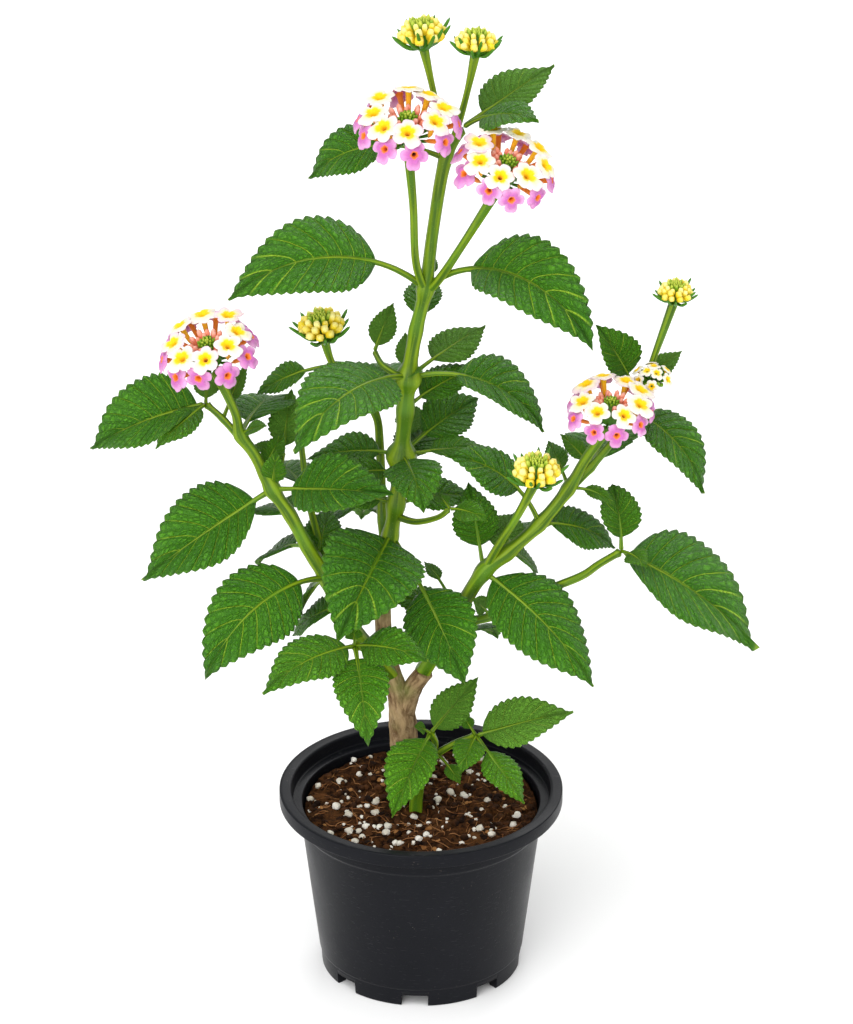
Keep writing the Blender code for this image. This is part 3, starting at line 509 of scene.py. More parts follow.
class Finish:
    """A material built node by node."""

    def __init__(self, name, colour, roughness, specular=0.5):
        self.material = bpy.data.materials.new(name)
        self.material.use_nodes = True
        self.tree = self.material.node_tree
        self.shader = self.tree.nodes["Principled BSDF"]
        self.shader.inputs["Base Color"].default_value = (*colour, 1)
        self.shader.inputs["Roughness"].default_value = roughness
        self.shader.inputs["Specular IOR Level"].default_value = specular

    def add(self, kind, inputs=None, **settings):
        """A node with its settings, and its inputs by name or place as values or links."""
        node = self.tree.nodes.new("ShaderNode" + kind)
        for key, value in settings.items():
            setattr(node, key, value)
        for key, value in (inputs or {}).items():
            self.put(node.inputs[key], value)
        return node

    def put(self, socket, value):
        if isinstance(value, bpy.types.NodeSocket):
            self.tree.links.new(value, socket)
        else:
            socket.default_value = value

    def read(self, kind, inputs=None, **settings):
        """The first output of a new node."""
        return self.add(kind, inputs, **settings).outputs[0]

    def math(self, operation, first, second=0.0, third=0.0):
        return self.read("Math", {0: first, 1: second, 2: third}, operation=operation)

    def band(self, value, low, high, start=0.0, end=1.0):
        """The value eased from start to end between low and high."""
        inputs = {0: value, 1: low, 2: high, 3: start, 4: end}
        return self.read("MapRange", inputs, interpolation_type="SMOOTHSTEP")

    def blend(self, share, first, second):
        """A mix of two colours."""
        node = self.add("Mix", data_type="RGBA")
        for socket, value in ((node.inputs[0], share), (node.inputs[6], first), (node.inputs[7], second)):
            if isinstance(value, tuple) and len(value) == 3:
                value = (*value, 1.0)
            self.put(socket, value)
        return node.outputs[2]

    def tint(self, body, share, colour, amount):
        """The body's colour taken an amount of the way to another, by a share."""
        return self.blend(self.math("MULTIPLY", share, amount), body, colour)

    def noise(self, where, scale, detail=3.0, roughness=0.5):
        inputs = {"Vector": where, "Scale": scale, "Detail": detail, "Roughness": roughness}
        return self.read("TexNoise", inputs)

    def cells(self, where, scale, feature="F1"):
        return self.read("TexVoronoi", {"Vector": where, "Scale": scale}, feature=feature)

    def here(self):
        return self.add("TexCoord").outputs["Object"]

    def own_map(self):
        return self.read("UVMap", uv_map="UVMap")

    def parts(self, where):
        """The separate numbers of a place."""
        return self.add("SeparateXYZ", {0: where}).outputs

    def youth(self):
        """The value that the mesh holds for each of its points."""
        return self.add("Attribute", attribute_name="youth").outputs["Fac"]

    def warped(self, where, scale, amount):
        """The place pushed about by a noise, so that a pattern read there isn't regular."""
        drift = self.add("TexNoise", {"Vector": where, "Scale": scale}).outputs[1]
        scaled = self.read("VectorMath", {0: drift, "Scale": amount}, operation="SCALE")
        return self.read("VectorMath", {0: where, 1: scaled}, operation="ADD")

    def stretched(self, where, scale):
        return self.read("Mapping", {"Vector": where, "Scale": scale})

    def colour(self, value):
        self.put(self.shader.inputs["Base Color"], value)

    def rough(self, value):
        self.put(self.shader.inputs["Roughness"], value)

    def bump(self, height, distance, strength=1.0):
        inputs = {"Height": height, "Distance": distance, "Strength": strength}
        self.put(self.shader.inputs["Normal"], self.read("Bump", inputs))


def leaf_finish(name, under=False):
    """A blade: deep green pads with painted highlights on their crowns and painted shade in the net of
    hollows between them, thin pale veins; brighter when young, duller below.
    """
    finish = Finish(name, (0.05, 0.2, 0.02), 0.4, 0.12 if under else 0.30)
    uv = finish.own_map()
    parts = finish.parts(uv)
    across = finish.math("ABSOLUTE", finish.math("MULTIPLY_ADD", parts[0], 2.0, -1.0))
    youth = finish.youth()
    here = finish.here()
    turn = finish.math("FRACT", finish.math("MULTIPLY_ADD", parts[1], float(VEIN_PAIRS), 0.5))
    from_vein = finish.math("ABSOLUTE", finish.math("SUBTRACT", turn, 0.5))
    reach = finish.band(across, 0.65, 1.0, 1.0, 0.15)
    side_vein = finish.math("MULTIPLY", finish.band(from_vein, 0.014, 0.055, 1.0, 0.0), reach)
    midrib = finish.band(across, 0.014, 0.052, 1.0, 0.0)
    veins = finish.math("MAXIMUM", side_vein, midrib)
    bent = finish.warped(uv, 9.0, 0.035)
    far = finish.cells(finish.stretched(bent, (15.0, 34.0, 1.0)), 1.0, "DISTANCE_TO_EDGE")
    pads = finish.band(far, 0.0, 0.30)
    fine_far = finish.cells(finish.stretched(bent, (38.0, 90.0, 1.0)), 1.0, "DISTANCE_TO_EDGE")
    fine = finish.band(fine_far, 0.0, 0.28)
    mottle = finish.noise(here, 55.0, 3.0)
    dark = finish.blend(mottle, (0.034, 0.178, 0.005), (0.110, 0.360, 0.013))
    young = finish.blend(mottle, (0.110, 0.39, 0.009), (0.215, 0.55, 0.024))
    body = finish.blend(youth, dark, young)
    # painted shade: the net between the raised pads is darkened as if shadowed in its hollows
    painted_net_shade = finish.blend(0.70, body, (0.014, 0.085, 0.002))
    body = finish.blend(finish.math("MULTIPLY_ADD", pads, 0.75, 0.25), painted_net_shade, body)
    # painted highlight: the crowns of the raised pads are lightened as if catching light
    body = finish.tint(body, finish.math("MULTIPLY", pads, fine), (0.19, 0.47, 0.03), 0.18)
    body = finish.blend(finish.band(across, 0.94, 1.0, 0.0, 0.30), body, (0.16, 0.36, 0.02))
    vein_colour = finish.blend(youth, (0.38, 0.62, 0.04), (0.45, 0.68, 0.06))
    body = finish.tint(body, side_vein, vein_colour, 0.80)
    body = finish.tint(body, midrib, vein_colour, 0.85)
    if under:
        body = finish.blend(0.5, body, (0.19, 0.40, 0.06))
    finish.colour(body)
    grain = finish.noise(here, 2600.0, 2.0)
    height = finish.math("MULTIPLY_ADD", fine, 0.30, finish.math("MULTIPLY_ADD", pads, 1.0, grain))
    height = finish.math("MULTIPLY_ADD", veins, 1.2 if under else -0.8, height)
    finish.bump(height, 0.0009, 1.0)
    finish.rough(0.62 if under else finish.band(mottle, 0.3, 0.7, 0.30, 0.42))
    return finish.material


def stem_finish(name):
    """A soft stem: yellow-green with olive streaks and small pale specks; painted highlight along its four
    ridges and painted shade in the grooves between them.
    """
    finish = Finish(name, (0.2, 0.38, 0.05), 0.42, 0.22)
    uv = finish.own_map()
    # painted highlight and shade: the colour follows the stem's four ridges, lighter on them and darker in
    # the grooves
    painted_ridge_shading = finish.math("COSINE", finish.math("MULTIPLY", finish.parts(uv)[0], 8 * math.pi))
    streaks = finish.noise(finish.stretched(uv, (16.0, 0.04, 1.0)), 1.0, 3.0)
    patches = finish.noise(finish.here(), 60.0, 2.0)
    tone = finish.math("MULTIPLY_ADD", painted_ridge_shading, 0.16, streaks)
    body = finish.blend(finish.band(tone, 0.30, 0.72), (0.045, 0.110, 0.002), (0.190, 0.290, 0.007))
    body = finish.blend(finish.band(patches, 0.42, 0.75, 0.0, 0.55), body, (0.095, 0.24, 0.010))
    specks = finish.band(finish.cells(finish.here(), 900.0), 0.12, 0.22, 1.0, 0.0)
    body = finish.tint(body, specks, (0.36, 0.48, 0.08), 0.20)
    finish.colour(body)
    height = finish.math("MULTIPLY_ADD", streaks, 1.0, finish.math("MULTIPLY", specks, 0.4))
    finish.bump(height, 0.0003, 0.8)
    return finish.material


def bark_finish(name):
    """Young bark: tan and brown, furrowed lengthwise, with green showing through."""
    finish = Finish(name, (0.3, 0.2, 0.1), 0.85, 0.1)
    furrows = finish.noise(finish.stretched(finish.own_map(), (9.0, 0.09, 1.0)), 1.0, 6.0, 0.65)
    flakes = finish.noise(finish.here(), 260.0, 5.0, 0.7)
    green = finish.noise(finish.here(), 45.0, 2.0)
    body = finish.blend(finish.band(furrows, 0.35, 0.65), (0.12, 0.065, 0.03), (0.42, 0.29, 0.15))
    body = finish.blend(finish.band(flakes, 0.52, 0.72, 0.0, 0.6), body, (0.55, 0.42, 0.25))
    body = finish.blend(finish.band(green, 0.5, 0.68, 0.0, 0.55), body, (0.20, 0.25, 0.06))
    finish.colour(body)
    height = finish.math("MULTIPLY_ADD", furrows, 1.0, finish.math("MULTIPLY", flakes, 0.5))
    finish.bump(height, 0.0009, 1.0)
    return finish.material


def petal_finish(name, edge, flushed, middle, ring, throat, ring_start, ring_end):
    """A corolla coloured from its throat out: a deep mouth, a bright ring, then lobes, flushed on some."""
    finish = Finish(name, edge, 0.5, 0.15)
    uv = finish.own_map()
    v = finish.parts(uv)[1]
    streaks = finish.noise(finish.stretched(uv, (26.0, 1.2, 1.0)), 1.0, 2.0)
    wander = finish.math("MULTIPLY_ADD", finish.math("SUBTRACT", streaks, 0.5), 0.14, v)
    rim = finish.blend(finish.youth(), edge, flushed)
    lobes = finish.blend(finish.band(wander, 0.45, 0.95), middle, rim)
    lobes = finish.blend(finish.band(streaks, 0.5, 0.75, 0.0, 0.25), lobes, middle)
    body = finish.blend(finish.band(wander, ring_start, ring_end, 1.0, 0.0), lobes, ring)
    body = finish.blend(finish.band(v, 0.16, 0.27, 1.0, 0.0), body, throat)
    finish.colour(body)
    finish.shader.inputs["Sheen Weight"].default_value = 0.15
    finish.shader.inputs["Subsurface Weight"].default_value = 0.12
    finish.shader.inputs["Subsurface Radius"].default_value = (0.002, 0.001, 0.001)
    finish.bump(streaks, 0.0002, 0.5)
    return finish.material


def club_finish(name, foot, middle, tip):
    """A bud or a tube, coloured from foot to tip."""
    finish = Finish(name, middle, 0.42, 0.25)
    flecks = finish.noise(finish.here(), 700.0, 2.0)
    share = finish.math("MULTIPLY_ADD", finish.math("SUBTRACT", flecks, 0.5), 0.25, finish.youth())
    body = finish.blend(finish.band(share, 0.1, 0.6), foot, middle)
    body = finish.blend(finish.band(share, 0.68, 0.98), body, tip)
    finish.colour(body)
    finish.bump(flecks, 0.00015, 0.5)
    return finish.material


def pot_finish(name):
    """Charcoal plastic: faint moulding grain, dust, fine scratches and a satin lip."""
    finish = Finish(name, (0.02, 0.021, 0.025), 0.4, 0.09)
    here = finish.here()
    grain = finish.noise(here, 1400.0, 3.0)
    cloud = finish.noise(here, 32.0, 4.0)
    dust = finish.band(finish.cells(here, 620.0), 0.05, 0.13, 1.0, 0.0)
    rare = finish.band(finish.noise(here, 90.0, 2.0), 0.58, 0.70)
    dust = finish.math("MULTIPLY", dust, rare)
    scratch = finish.noise(finish.stretched(here, (260.0, 260.0, 2600.0)), 1.0, 2.0)
    scuff = finish.band(scratch, 0.66, 0.72)
    body = finish.blend(cloud, (0.004, 0.0045, 0.006), (0.009, 0.0095, 0.0125))
    body = finish.tint(body, scuff, (0.045, 0.045, 0.05), 0.25)
    body = finish.tint(body, dust, (0.22, 0.19, 0.16), 0.6)
    finish.colour(body)
    finish.rough(finish.band(cloud, 0.3, 0.7, 0.30, 0.42))
    height = finish.math("MULTIPLY_ADD", grain, 0.6, finish.math("MULTIPLY", scuff, -0.4))
    finish.bump(height, 0.00015, 0.6)
    return finish.material


def peat_finish(name):
    """Damp peat: near-black crumbs with brown and reddish fibre."""
    finish = Finish(name, (0.04, 0.02, 0.012), 0.9, 0.05)
    here = finish.here()
    crumbs = finish.noise(here, 420.0, 6.0, 0.7)
    patches = finish.noise(here, 90.0, 3.0)
    body = finish.blend(finish.band(crumbs, 0.35, 0.7), (0.008, 0.003, 0.0015), (0.090, 0.034, 0.010))
    body = finish.blend(finish.band(patches, 0.5, 0.75, 0.0, 0.5), body, (0.15, 0.062, 0.020))
    finish.colour(body)
    finish.bump(crumbs, 0.0012, 1.0)
    return finish.material


def grain_finish(name, low, high, roughness):
    """Loose matter: two tones over a rough grain."""
    finish = Finish(name, high, roughness, 0.1)
    here = finish.here()
    grain = finish.noise(here, 900.0, 4.0, 0.6)
    patches = finish.noise(here, 150.0, 2.0)
    body = finish.blend(finish.band(patches, 0.35, 0.65), low, high)
    body = finish.tint(body, grain, low, 0.35)
    finish.colour(body)
    finish.bump(grain, 0.0006, 0.8)
    return finish.material


# Leaves and stems


def half_width(share):
    """Half the width of an egg-shaped blade one wide, at a share of its length; pointed at the tip."""
    return 0.5 * share ** BASE_ROUNDING * (1 - share) ** TIP_TAPER / BLADE_PEAK


class LeafForm:
    """One leaf: the arc of its stalk and blade, its toothed margin, and the relief of its blade."""

    def __init__(self, root, heading, rise, stalk, blade, droop, face, ratio, fold=FOLD, seed=""):
        self.root = root
        self.stalk = stalk
        self.blade = blade
        self.fold = fold
        self.length = stalk + blade
        self.bend = math.radians(droop)
        self.pitch = math.radians(rise)
        turn = math.radians(heading)
        self.outward = Vector((math.cos(turn), math.sin(turn), 0))
        lean = math.radians(face)
        self.facing = Vector((0, -math.sin(lean), math.cos(lean)))
        self.width = blade * ratio
        self.size = min(blade / LARGE_BLADE, 1.0)
        self.sweep = VEIN_SWEEP * min(ratio / 0.6, 1.2)
        draw = random.Random(seed)
        self.phase = draw.uniform(0, 6.28)
        self.twist = math.radians(draw.uniform(-8, 8))
        self.wave = draw.uniform(0.5, 1.0)
        self.cup = draw.uniform(0.7, 1.2)
        self.teeth = round(LEAST_TEETH + TEETH_PER_MM * blade)
        self.youth = min(max((YOUNG_BLADE - blade) / YOUNG_SPAN, 0.0), 1.0) * draw.uniform(0.7, 1.0)
        self.feet = {}

    def spine(self, distance):
        """Centre, direction, side and normal of the leaf at a distance from the stem's axis."""
        now = self.pitch - self.bend * distance / self.length
        radius = self.length / self.bend
        out = radius * (math.sin(self.pitch) - math.sin(now))
        climb = radius * (math.cos(now) - math.cos(self.pitch))
        centre = self.root + self.outward * out + Vector((0, 0, climb))
        along = self.outward * math.cos(now) + Vector((0, 0, math.sin(now)))
        normal = (self.facing - along * self.facing.dot(along)).normalized()
        side = along.cross(normal)
        turn = self.twist * max(distance - self.stalk, 0) / self.blade
        side, normal = (
            side * math.cos(turn) + normal * math.sin(turn),
            normal * math.cos(turn) - side * math.sin(turn),
        )
        return centre, along, side, normal

    def vein_foot(self, row):
        """Where on the midrib the side vein starts that meets the margin at a share of the length."""
        if row not in self.feet:
            low = 0.0
            high = 1.0
            for step in range(VEIN_SEARCH_STEPS):
                middle = (low + high) / 2
                if middle + self.sweep * math.sin(math.pi * middle) < row:
                    low = middle
                else:
                    high = middle
            self.feet[row] = high
        return self.feet[row]

    def margin(self, share):
        """Half the blade's width at a share of its length, with rounded teeth that point forward."""
        base = self.width * half_width(share)
        turn = (share * self.teeth) % 1.0
        if turn < TOOTH_CREST:
            tooth = (turn / TOOTH_CREST) ** 0.7
        else:
            tooth = 1 - ((turn - TOOTH_CREST) / (1 - TOOTH_CREST)) ** 1.3
        strength = min(max((share - 0.05) / 0.10, 0.0), 1.0) * min(base / (0.12 * self.width), 1.0)
        depth = TOOTH_DEPTH * strength * self.blade / self.teeth
        return base + depth * (tooth - 0.55)

    def relief(self, row, side_share, lateral):
        """Height over the blade's fold: pads between sunken veins, and a curled, waved margin."""
        pads = abs(math.sin(math.pi * row * VEIN_PAIRS)) ** 0.6 - 0.45
        window = side_share ** 0.35 * (1 - side_share ** 7) * math.sin(math.pi * min(row * 1.04, 1.0)) ** 0.4
        pucker = math.sin(side_share * 17 + row * 9 + self.phase)
        groove = math.exp(-(lateral / (1.1 * self.size)) ** 2)
        height = PAD_HEIGHT * self.size * pads * window
        height += PUCKER_HEIGHT * self.size * pucker * window
        height -= MIDRIB_GROOVE * self.size * groove
        height -= CUP_SHARE * self.width * self.cup * side_share ** 2.6
        height += WAVE_SHARE * self.width * self.wave * math.sin(row * 10 + self.phase) * side_share ** 2
        return height

    def place(self, u, v):
        """A point of the blade, whose rows follow the side veins and meet the margin at equal steps."""
        sign = 1.0 if u > 0.5 else -1.0
        side_share = abs(u - 0.5) * 2
        foot = self.vein_foot(v)
        share = foot + (v - foot) * side_share ** 1.35
        if v < 1e-6:
            lateral = side_share * 0.5
        elif v > 1 - 1e-6:
            lateral = 0.0
        else:
            lateral = side_share * self.margin(v)
        centre, along, side, normal = self.spine(self.stalk + self.blade * share)
        lift = self.fold * lateral + self.relief(min(v, 1.0), side_share, lateral)
        return centre + side * (sign * lateral) + normal * lift

    def add_blade(self, shape):
        across = BROAD_GRID if self.blade > NARROW_BLADE else NARROW_GRID
        made = sheet(shape, across, self.teeth * ROWS_PER_TOOTH, self.place, self.youth)
        bmesh.ops.remove_doubles(shape, verts=made, dist=1e-4)

    def add_stalk(self, shape, thickness):
        """The stalk, which runs on under the blade as its midrib."""
        end = self.stalk + 0.9 * self.blade
        steps = 16
        points = []
        for k in range(steps + 1):
            distance = end * k / steps
            centre, along, side, normal = self.spine(distance)
            under = min(max((distance - self.stalk) / 6.0, 0.0), 1.0)
            points.append(centre - normal * (MIDRIB_GROOVE * under * self.size + 0.15))
        foot = self.stalk / end

        def radius(share):
            if share < foot:
                return thickness * (1.25 - 0.35 * share / foot)
            return thickness * 0.9 * (1 - (share - foot) / (1 - foot)) ** 0.8 + 0.12

        tube(shape, points, radius, 8, 26, None, self.youth)


def ridged(turn, share):
    """The outline of a square stem with four soft ridges."""
    return 1 + 0.05 * math.cos(4 * turn) + 0.015 * math.cos(12 * turn)


def stem_tube(shape, rows, joints):
    """A stem through its rows, swollen where leaves leave it."""
    path = smooth_path(rows, PATH_STEPS)
    route = Route(path)
    swellings = []
    for joint in joints:
        nearest = min(range(len(route.points)), key=lambda i: (route.points[i] - joint).length)
        swellings.append(route.distance[nearest])

    def radius(share):
        size = route.radius(share)
        here = share * route.length
        for swelling in swellings:
            size *= 1 + NODE_SWELLING * math.exp(-(((here - swelling) / (NODE_REACH * size)) ** 2))
        return size

    along = max(24, int(route.length / STEM_RING_SPACING))
    tube(shape, path, radius, STEM_SIDES, along, ridged, 0.0, 0.01)


def build_leafy_stem(name, runs, finishes):
    """A leafy stem as two pieces: its stalks, and its blades."""
    stalks = new_shape()
    blades = new_shape()
    leaves = LEAVES[name]
    for run in runs:
        joints = [stem_point(*leaf[:2]) for leaf in leaves if leaf[0] == run]
        stem_tube(stalks, STEMS[run], joints)
    for index, (stem, row, *form) in enumerate(leaves):
        leaf = LeafForm(stem_point(stem, row), *form, seed=name + str(index))
        # painted light: these shoots' leaves take the bright young colour, partly as young growth and partly
        # to lift the shade they stand in
        leaf.youth = max(leaf.youth, YOUNG_SHOOTS_WITH_PAINTED_LIGHT.get(name, 0.0))
        leaf.add_blade(blades)
        leaf.add_stalk(stalks, 0.55 + 0.011 * leaf.blade)
    finish_piece(name + "_stalks", stalks, [finishes["stem"]], [name])
    both_sides = [finishes["leaf"], finishes["leaf_under"]]
    piece = finish_piece(name + "_leaves", blades, both_sides, [name], 80)
    thicken(piece, LEAF_THICKNESS, 0.0, 1)


def build_trunk(finishes):
    shape = new_shape()
    for run in ("trunk", "trunk_arm"):
        path = smooth_path(STEMS[run], PATH_STEPS)
        route = Route(path)

        def furrowed(turn, share):
            place = Vector((3 * math.cos(turn), 3 * math.sin(turn), share * route.length / 9))
            return 1 + 0.10 * noise.noise(place) + 0.05 * noise.noise(place * 2.7)

        along = int(route.length / TRUNK_RING_SPACING)
        tube(shape, path, route.radius, TRUNK_SIDES, along, furrowed, 0.0, 0.01)
    finish_piece("trunk_bark", shape, [finishes["bark"]], ["trunk"])


# Heads


def lobe_reach(turn):
    """How far a corolla reaches at a turn from its large lower lobe, in halves of its width."""
    best = 0.0
    for middle, size, spread in LOBES:
        away = abs((math.degrees(turn) - middle + 180) % 360 - 180) / spread
        best = max(best, size * (1 - 0.40 * away ** 2.6))
    cleft = abs((math.degrees(turn) + 180) % 360 - 180)
    return max(best, 0.45) - 0.07 * math.exp(-((cleft / 9) ** 2))


def add_floret(shape, centre, aim, width, depth, draw, cup, flush):
    """An open floret: a slim trumpet of a tube that opens into five ruffled lobes, cupped or flat."""
    phase = draw.uniform(0, 6.28)
    curl = draw.uniform(0.10, 0.22)
    half = width / 2

    def place(u, v):
        turn = 2 * math.pi * u
        if v < MOUTH_STEP:
            deep = 1 - v / MOUTH_STEP
            radius = half * (MOUTH_SHARE - 0.07 * deep ** 0.55)
            height = -depth * deep
            if v < 0.01:
                radius = 0.0
        else:
            out = (v - MOUTH_STEP) / (1 - MOUTH_STEP)
            reach = lobe_reach(turn)
            radius = half * (MOUTH_SHARE + (reach - MOUTH_SHARE) * out ** 0.9)
            height = half * (0.10 * math.sin(math.pi * min(out * 1.6, 1.0)) + cup * out ** 0.8)
            height -= half * curl * out ** 3 * (1.5 if abs(u - 0.5) > 0.40 else 0.8)
            height += half * 0.05 * math.sin(7 * turn + phase) * out ** 2
            height -= half * 0.20 * (1 - reach) * out
        return centre + aim @ Vector((radius * math.cos(turn), radius * math.sin(turn), height))

    made = sheet(shape, FLORET_SIDES, FLORET_RINGS, place, flush)
    bmesh.ops.remove_doubles(shape, verts=made, dist=1e-3)


def square(turn, share):
    return 1 + 0.10 * math.cos(4 * turn) * share


def add_club(shape, root, tip, width, tip_tone=1.0, foot=0.34, sides=8):
    """A closed bud: a slim tube that swells to a squarish top. Its tone runs from foot to tip."""
    before = len(shape.verts)

    def radius(share):
        if share < 0.62:
            return width * (foot * 0.5 + (0.5 - foot * 0.5) * 0.75 * (share / 0.62) ** 2.4)
        top = (share - 0.62) / 0.38
        swell = 0.75 + 0.25 * math.sin(math.pi * min(top * 1.3, 1) / 2)
        return width * 0.5 * swell * math.sqrt(max(1 - top ** 3.2, 0))

    tube(shape, [root, root.lerp(tip, 0.5), tip], radius, sides, 10, square, 0.0, 0.01)
    age = shape.verts.layers.float["youth"]
    axis = tip - root
    shape.verts.ensure_lookup_table()
    for vertex in shape.verts[before:]:
        vertex[age] = tip_tone * min(max((vertex.co - root).dot(axis) / axis.length_squared, 0), 1)


def add_core(shape, centre, frame_of_head, radius, height):
    """The smooth receptacle that buds and florets grow from."""
    core = bmesh.ops.create_uvsphere(shape, u_segments=20, v_segments=12, radius=1.0)["verts"]
    arrange(shape, core, (radius, radius, height), frame_of_head, centre)


def head_place(row, sink):
    """The frame of a head, and a function for places and aims on it, in shares of its width."""
    stem, width, heading, lean = row
    frame_of_head = axis_frame(heading, lean)
    centre = Vector(STEMS[stem][-1][:3]) + frame_of_head @ Vector((0, 0, CORE_SHARE * width - sink))

    def spot(turn, distance, height, tilt=0.0, roll=0.0):
        around = frame_of_head @ Matrix.Rotation(turn, 3, "Z")
        place = centre + around @ Vector((distance * width, 0, height * width))
        aim = around @ Matrix.Rotation(math.radians(tilt), 3, "Y") @ Matrix.Rotation(roll, 3, "Z")
        return place, aim

    return frame_of_head, spot


def ring_turns(draw, count, sway, first=0.0):
    """The turn about the head's axis of each piece in a ring, none quite in its even place."""
    for k in range(count):
        yield 2 * math.pi * (k + first + draw.uniform(-sway, sway)) / count


def build_flower_head(name, row, finishes):
    """A head in flower: lilac florets outside, cream ones above them, salmon buds and a green heart."""
    width = row[1]
    draw = random.Random(name)
    frame_of_head, spot = head_place(row, HEAD_SINK)
    lilac = new_shape()
    cream = new_shape()
    buds = new_shape()
    greens = new_shape()
    base = spot(0, 0, -0.12)[0]
    for flowers, ring in ((lilac, LILAC_RING), (cream, CREAM_RING)):
        count, distance, height, tilt, size, depth, cup = ring
        for turn in ring_turns(draw, count, 0.12, draw.uniform(0, 1)):
            roll = draw.uniform(-0.3, 0.3) if flowers is lilac else draw.uniform(-0.8, 0.8)
            place, aim = spot(
                turn, distance * draw.uniform(0.95, 1.05), height + draw.uniform(-0.025, 0.025),
                tilt + draw.uniform(-10, 10), roll,
            )
            floret = size * width * draw.uniform(0.92, 1.08)
            flush = draw.uniform(0, 0.4) if draw.random() < 0.7 else draw.uniform(0.5, 1.0)
            add_floret(flowers, place, aim, floret, depth * width, draw, cup * draw.uniform(0.7, 1.2), flush)
    for count, distance, height, size in SALMON_RINGS:
        for turn in ring_turns(draw, count, 0.2):
            reach = distance * draw.uniform(0.94, 1.06)
            place = spot(turn, reach, height + draw.uniform(-0.018, 0.014))[0]
            add_club(buds, base.lerp(place, 0.25), place, size * width, 1.0, 0.30)
    for k in range(26):
        place, aim = spot(GOLDEN_TURN * k, 0.0175 * math.sqrt(k), 0.168 - 0.0014 * k, 4 * math.sqrt(k))
        add_club(greens, place - aim @ Vector((0, 0, 0.12 * width)), place, 0.028 * width)
    for turn in ring_turns(draw, 12, 0.2):
        place = spot(turn, 0.20, -0.07 + draw.uniform(-0.015, 0.015))[0]
        add_club(greens, base, place, 0.035 * width, 0.2)
    add_core(greens, spot(0, 0, -0.02)[0], frame_of_head, 0.115 * width, 0.14 * width)
    for part, shape, finish in (
        ("lilac_florets", lilac, "lilac"), ("cream_florets", cream, "cream"),
        ("closed_buds", buds, "salmon"), ("green_heart", greens, "green_bud"),
    ):
        piece = finish_piece(name + "_" + part, shape, [finishes[finish]], [name])
        if part.endswith("florets"):
            thicken(piece, PETAL_THICKNESS, -1.0)


def build_bud_head(name, row, finishes):
    """A head in bud: rings of clubs over a small receptacle, with narrow bracts standing out past them."""
    width = row[1]
    draw = random.Random(name)
    frame_of_head, spot = head_place(row, BUD_SINK)
    foot = Vector(STEMS[row[0]][-1][:3]) - frame_of_head @ Vector((0, 0, 1.0))
    buds = new_shape()
    greens = new_shape()

    def bract_radius(share):
        return width * (0.022 + 0.016 * math.sin(math.pi * share))

    rings = [(buds, ring) for ring in YELLOW_RINGS] + [(greens, GREEN_RING)]
    for shape, (count, distance, height, size) in rings:
        for turn in ring_turns(draw, count, 0.14, draw.uniform(0, 1)):
            tip = spot(turn, distance * draw.uniform(0.94, 1.04), height + draw.uniform(-0.03, 0.03))[0]
            root = foot.lerp(spot(turn, 0.2 * distance, -0.12)[0], 0.8)
            add_club(shape, root, tip, size * width * draw.uniform(0.85, 1.1))
    for k in range(22):
        tip = spot(GOLDEN_TURN * k, 0.027 * math.sqrt(k), 0.345 - 0.002 * k)[0]
        add_club(greens, tip - frame_of_head @ Vector((0, 0, 0.3 * width)), tip, 0.05 * width)
    for turn in ring_turns(draw, 13, 0.25):
        tip = spot(turn, draw.uniform(0.48, 0.57), draw.uniform(-0.02, 0.26))[0]
        bend = foot.lerp(tip, 0.5) + frame_of_head @ Vector((0, 0, -0.09 * width))
        points = smooth_path([(*foot, 0), (*bend, 0), (*tip, 0)], 5)
        tube(greens, points, bract_radius, 6, 10, None, 0.15)
    add_core(greens, spot(0, 0, 0)[0], frame_of_head, 0.2 * width, 0.26 * width)
    finish_piece(name + "_buds", buds, [finishes["yellow_bud"]], [name])
    finish_piece(name + "_bracts", greens, [finishes["green_bud"]], [name])


def build_young_head(finishes):
    """A small head with its first cream florets open over green buds."""
    width = YOUNG_HEAD[1]
    draw = random.Random("young")
    spot = head_place(YOUNG_HEAD, HEAD_SINK)[1]
    cream = new_shape()
    buds = new_shape()
    base = spot(0, 0, -0.10)[0]
    for ring, (count, distance, height, tilt) in enumerate(YOUNG_RINGS):
        for turn in ring_turns(draw, count, 0.1, 0.4 * ring):
            place, aim = spot(turn, distance, height, tilt + draw.uniform(-8, 8))
            add_floret(cream, place, aim, 0.34 * width, 0.15 * width, draw, 0.25, 0.1)
            add_club(buds, base, place, 0.08 * width, 0.3)
    for k in range(14):
        place = spot(2 * math.pi * k / 14, 0.30, 0.02 + 0.12 * (k % 2))[0]
        add_club(buds, base, place, 0.11 * width, 0.8)
    piece = finish_piece("young_head_florets", cream, [finishes["cream"]], ["young_head"])
    thicken(piece, PETAL_THICKNESS, -1.0)
    finish_piece("young_head_buds", buds, [finishes["green_bud"]], ["young_head"])


# Pot and soil


def turned(shape, profile, segments):
    """A profile of radius and height turned a full circle."""
    line = [shape.verts.new((radius, 0, height)) for radius, height in profile]
    edges = [shape.edges.new(pair) for pair in zip(line, line[1:])]
    bmesh.ops.spin(
        shape, geom=line + edges, cent=(0, 0, 0), axis=(0, 0, 1), angle=2 * math.pi, steps=segments,
        use_merge=True,
    )
    bmesh.ops.remove_doubles(shape, verts=shape.verts, dist=0.001)


def round_corners(profile, radius, steps=4):
    """The profile with each inner corner eased by a short arc."""
    made = [profile[0]]
    for before, corner, after in zip(profile, profile[1:], profile[2:]):
        corner = Vector(corner)
        back = Vector(before) - corner
        ahead = Vector(after) - corner
        ease = min(radius, 0.45 * back.length, 0.45 * ahead.length)
        first = corner + back.normalized() * ease
        last = corner + ahead.normalized() * ease
        for k in range(steps + 1):
            t = k / steps
            made.append(tuple(first * (1 - t) ** 2 + corner * 2 * t * (1 - t) + last * t ** 2))
    made.append(profile[-1])
    return made


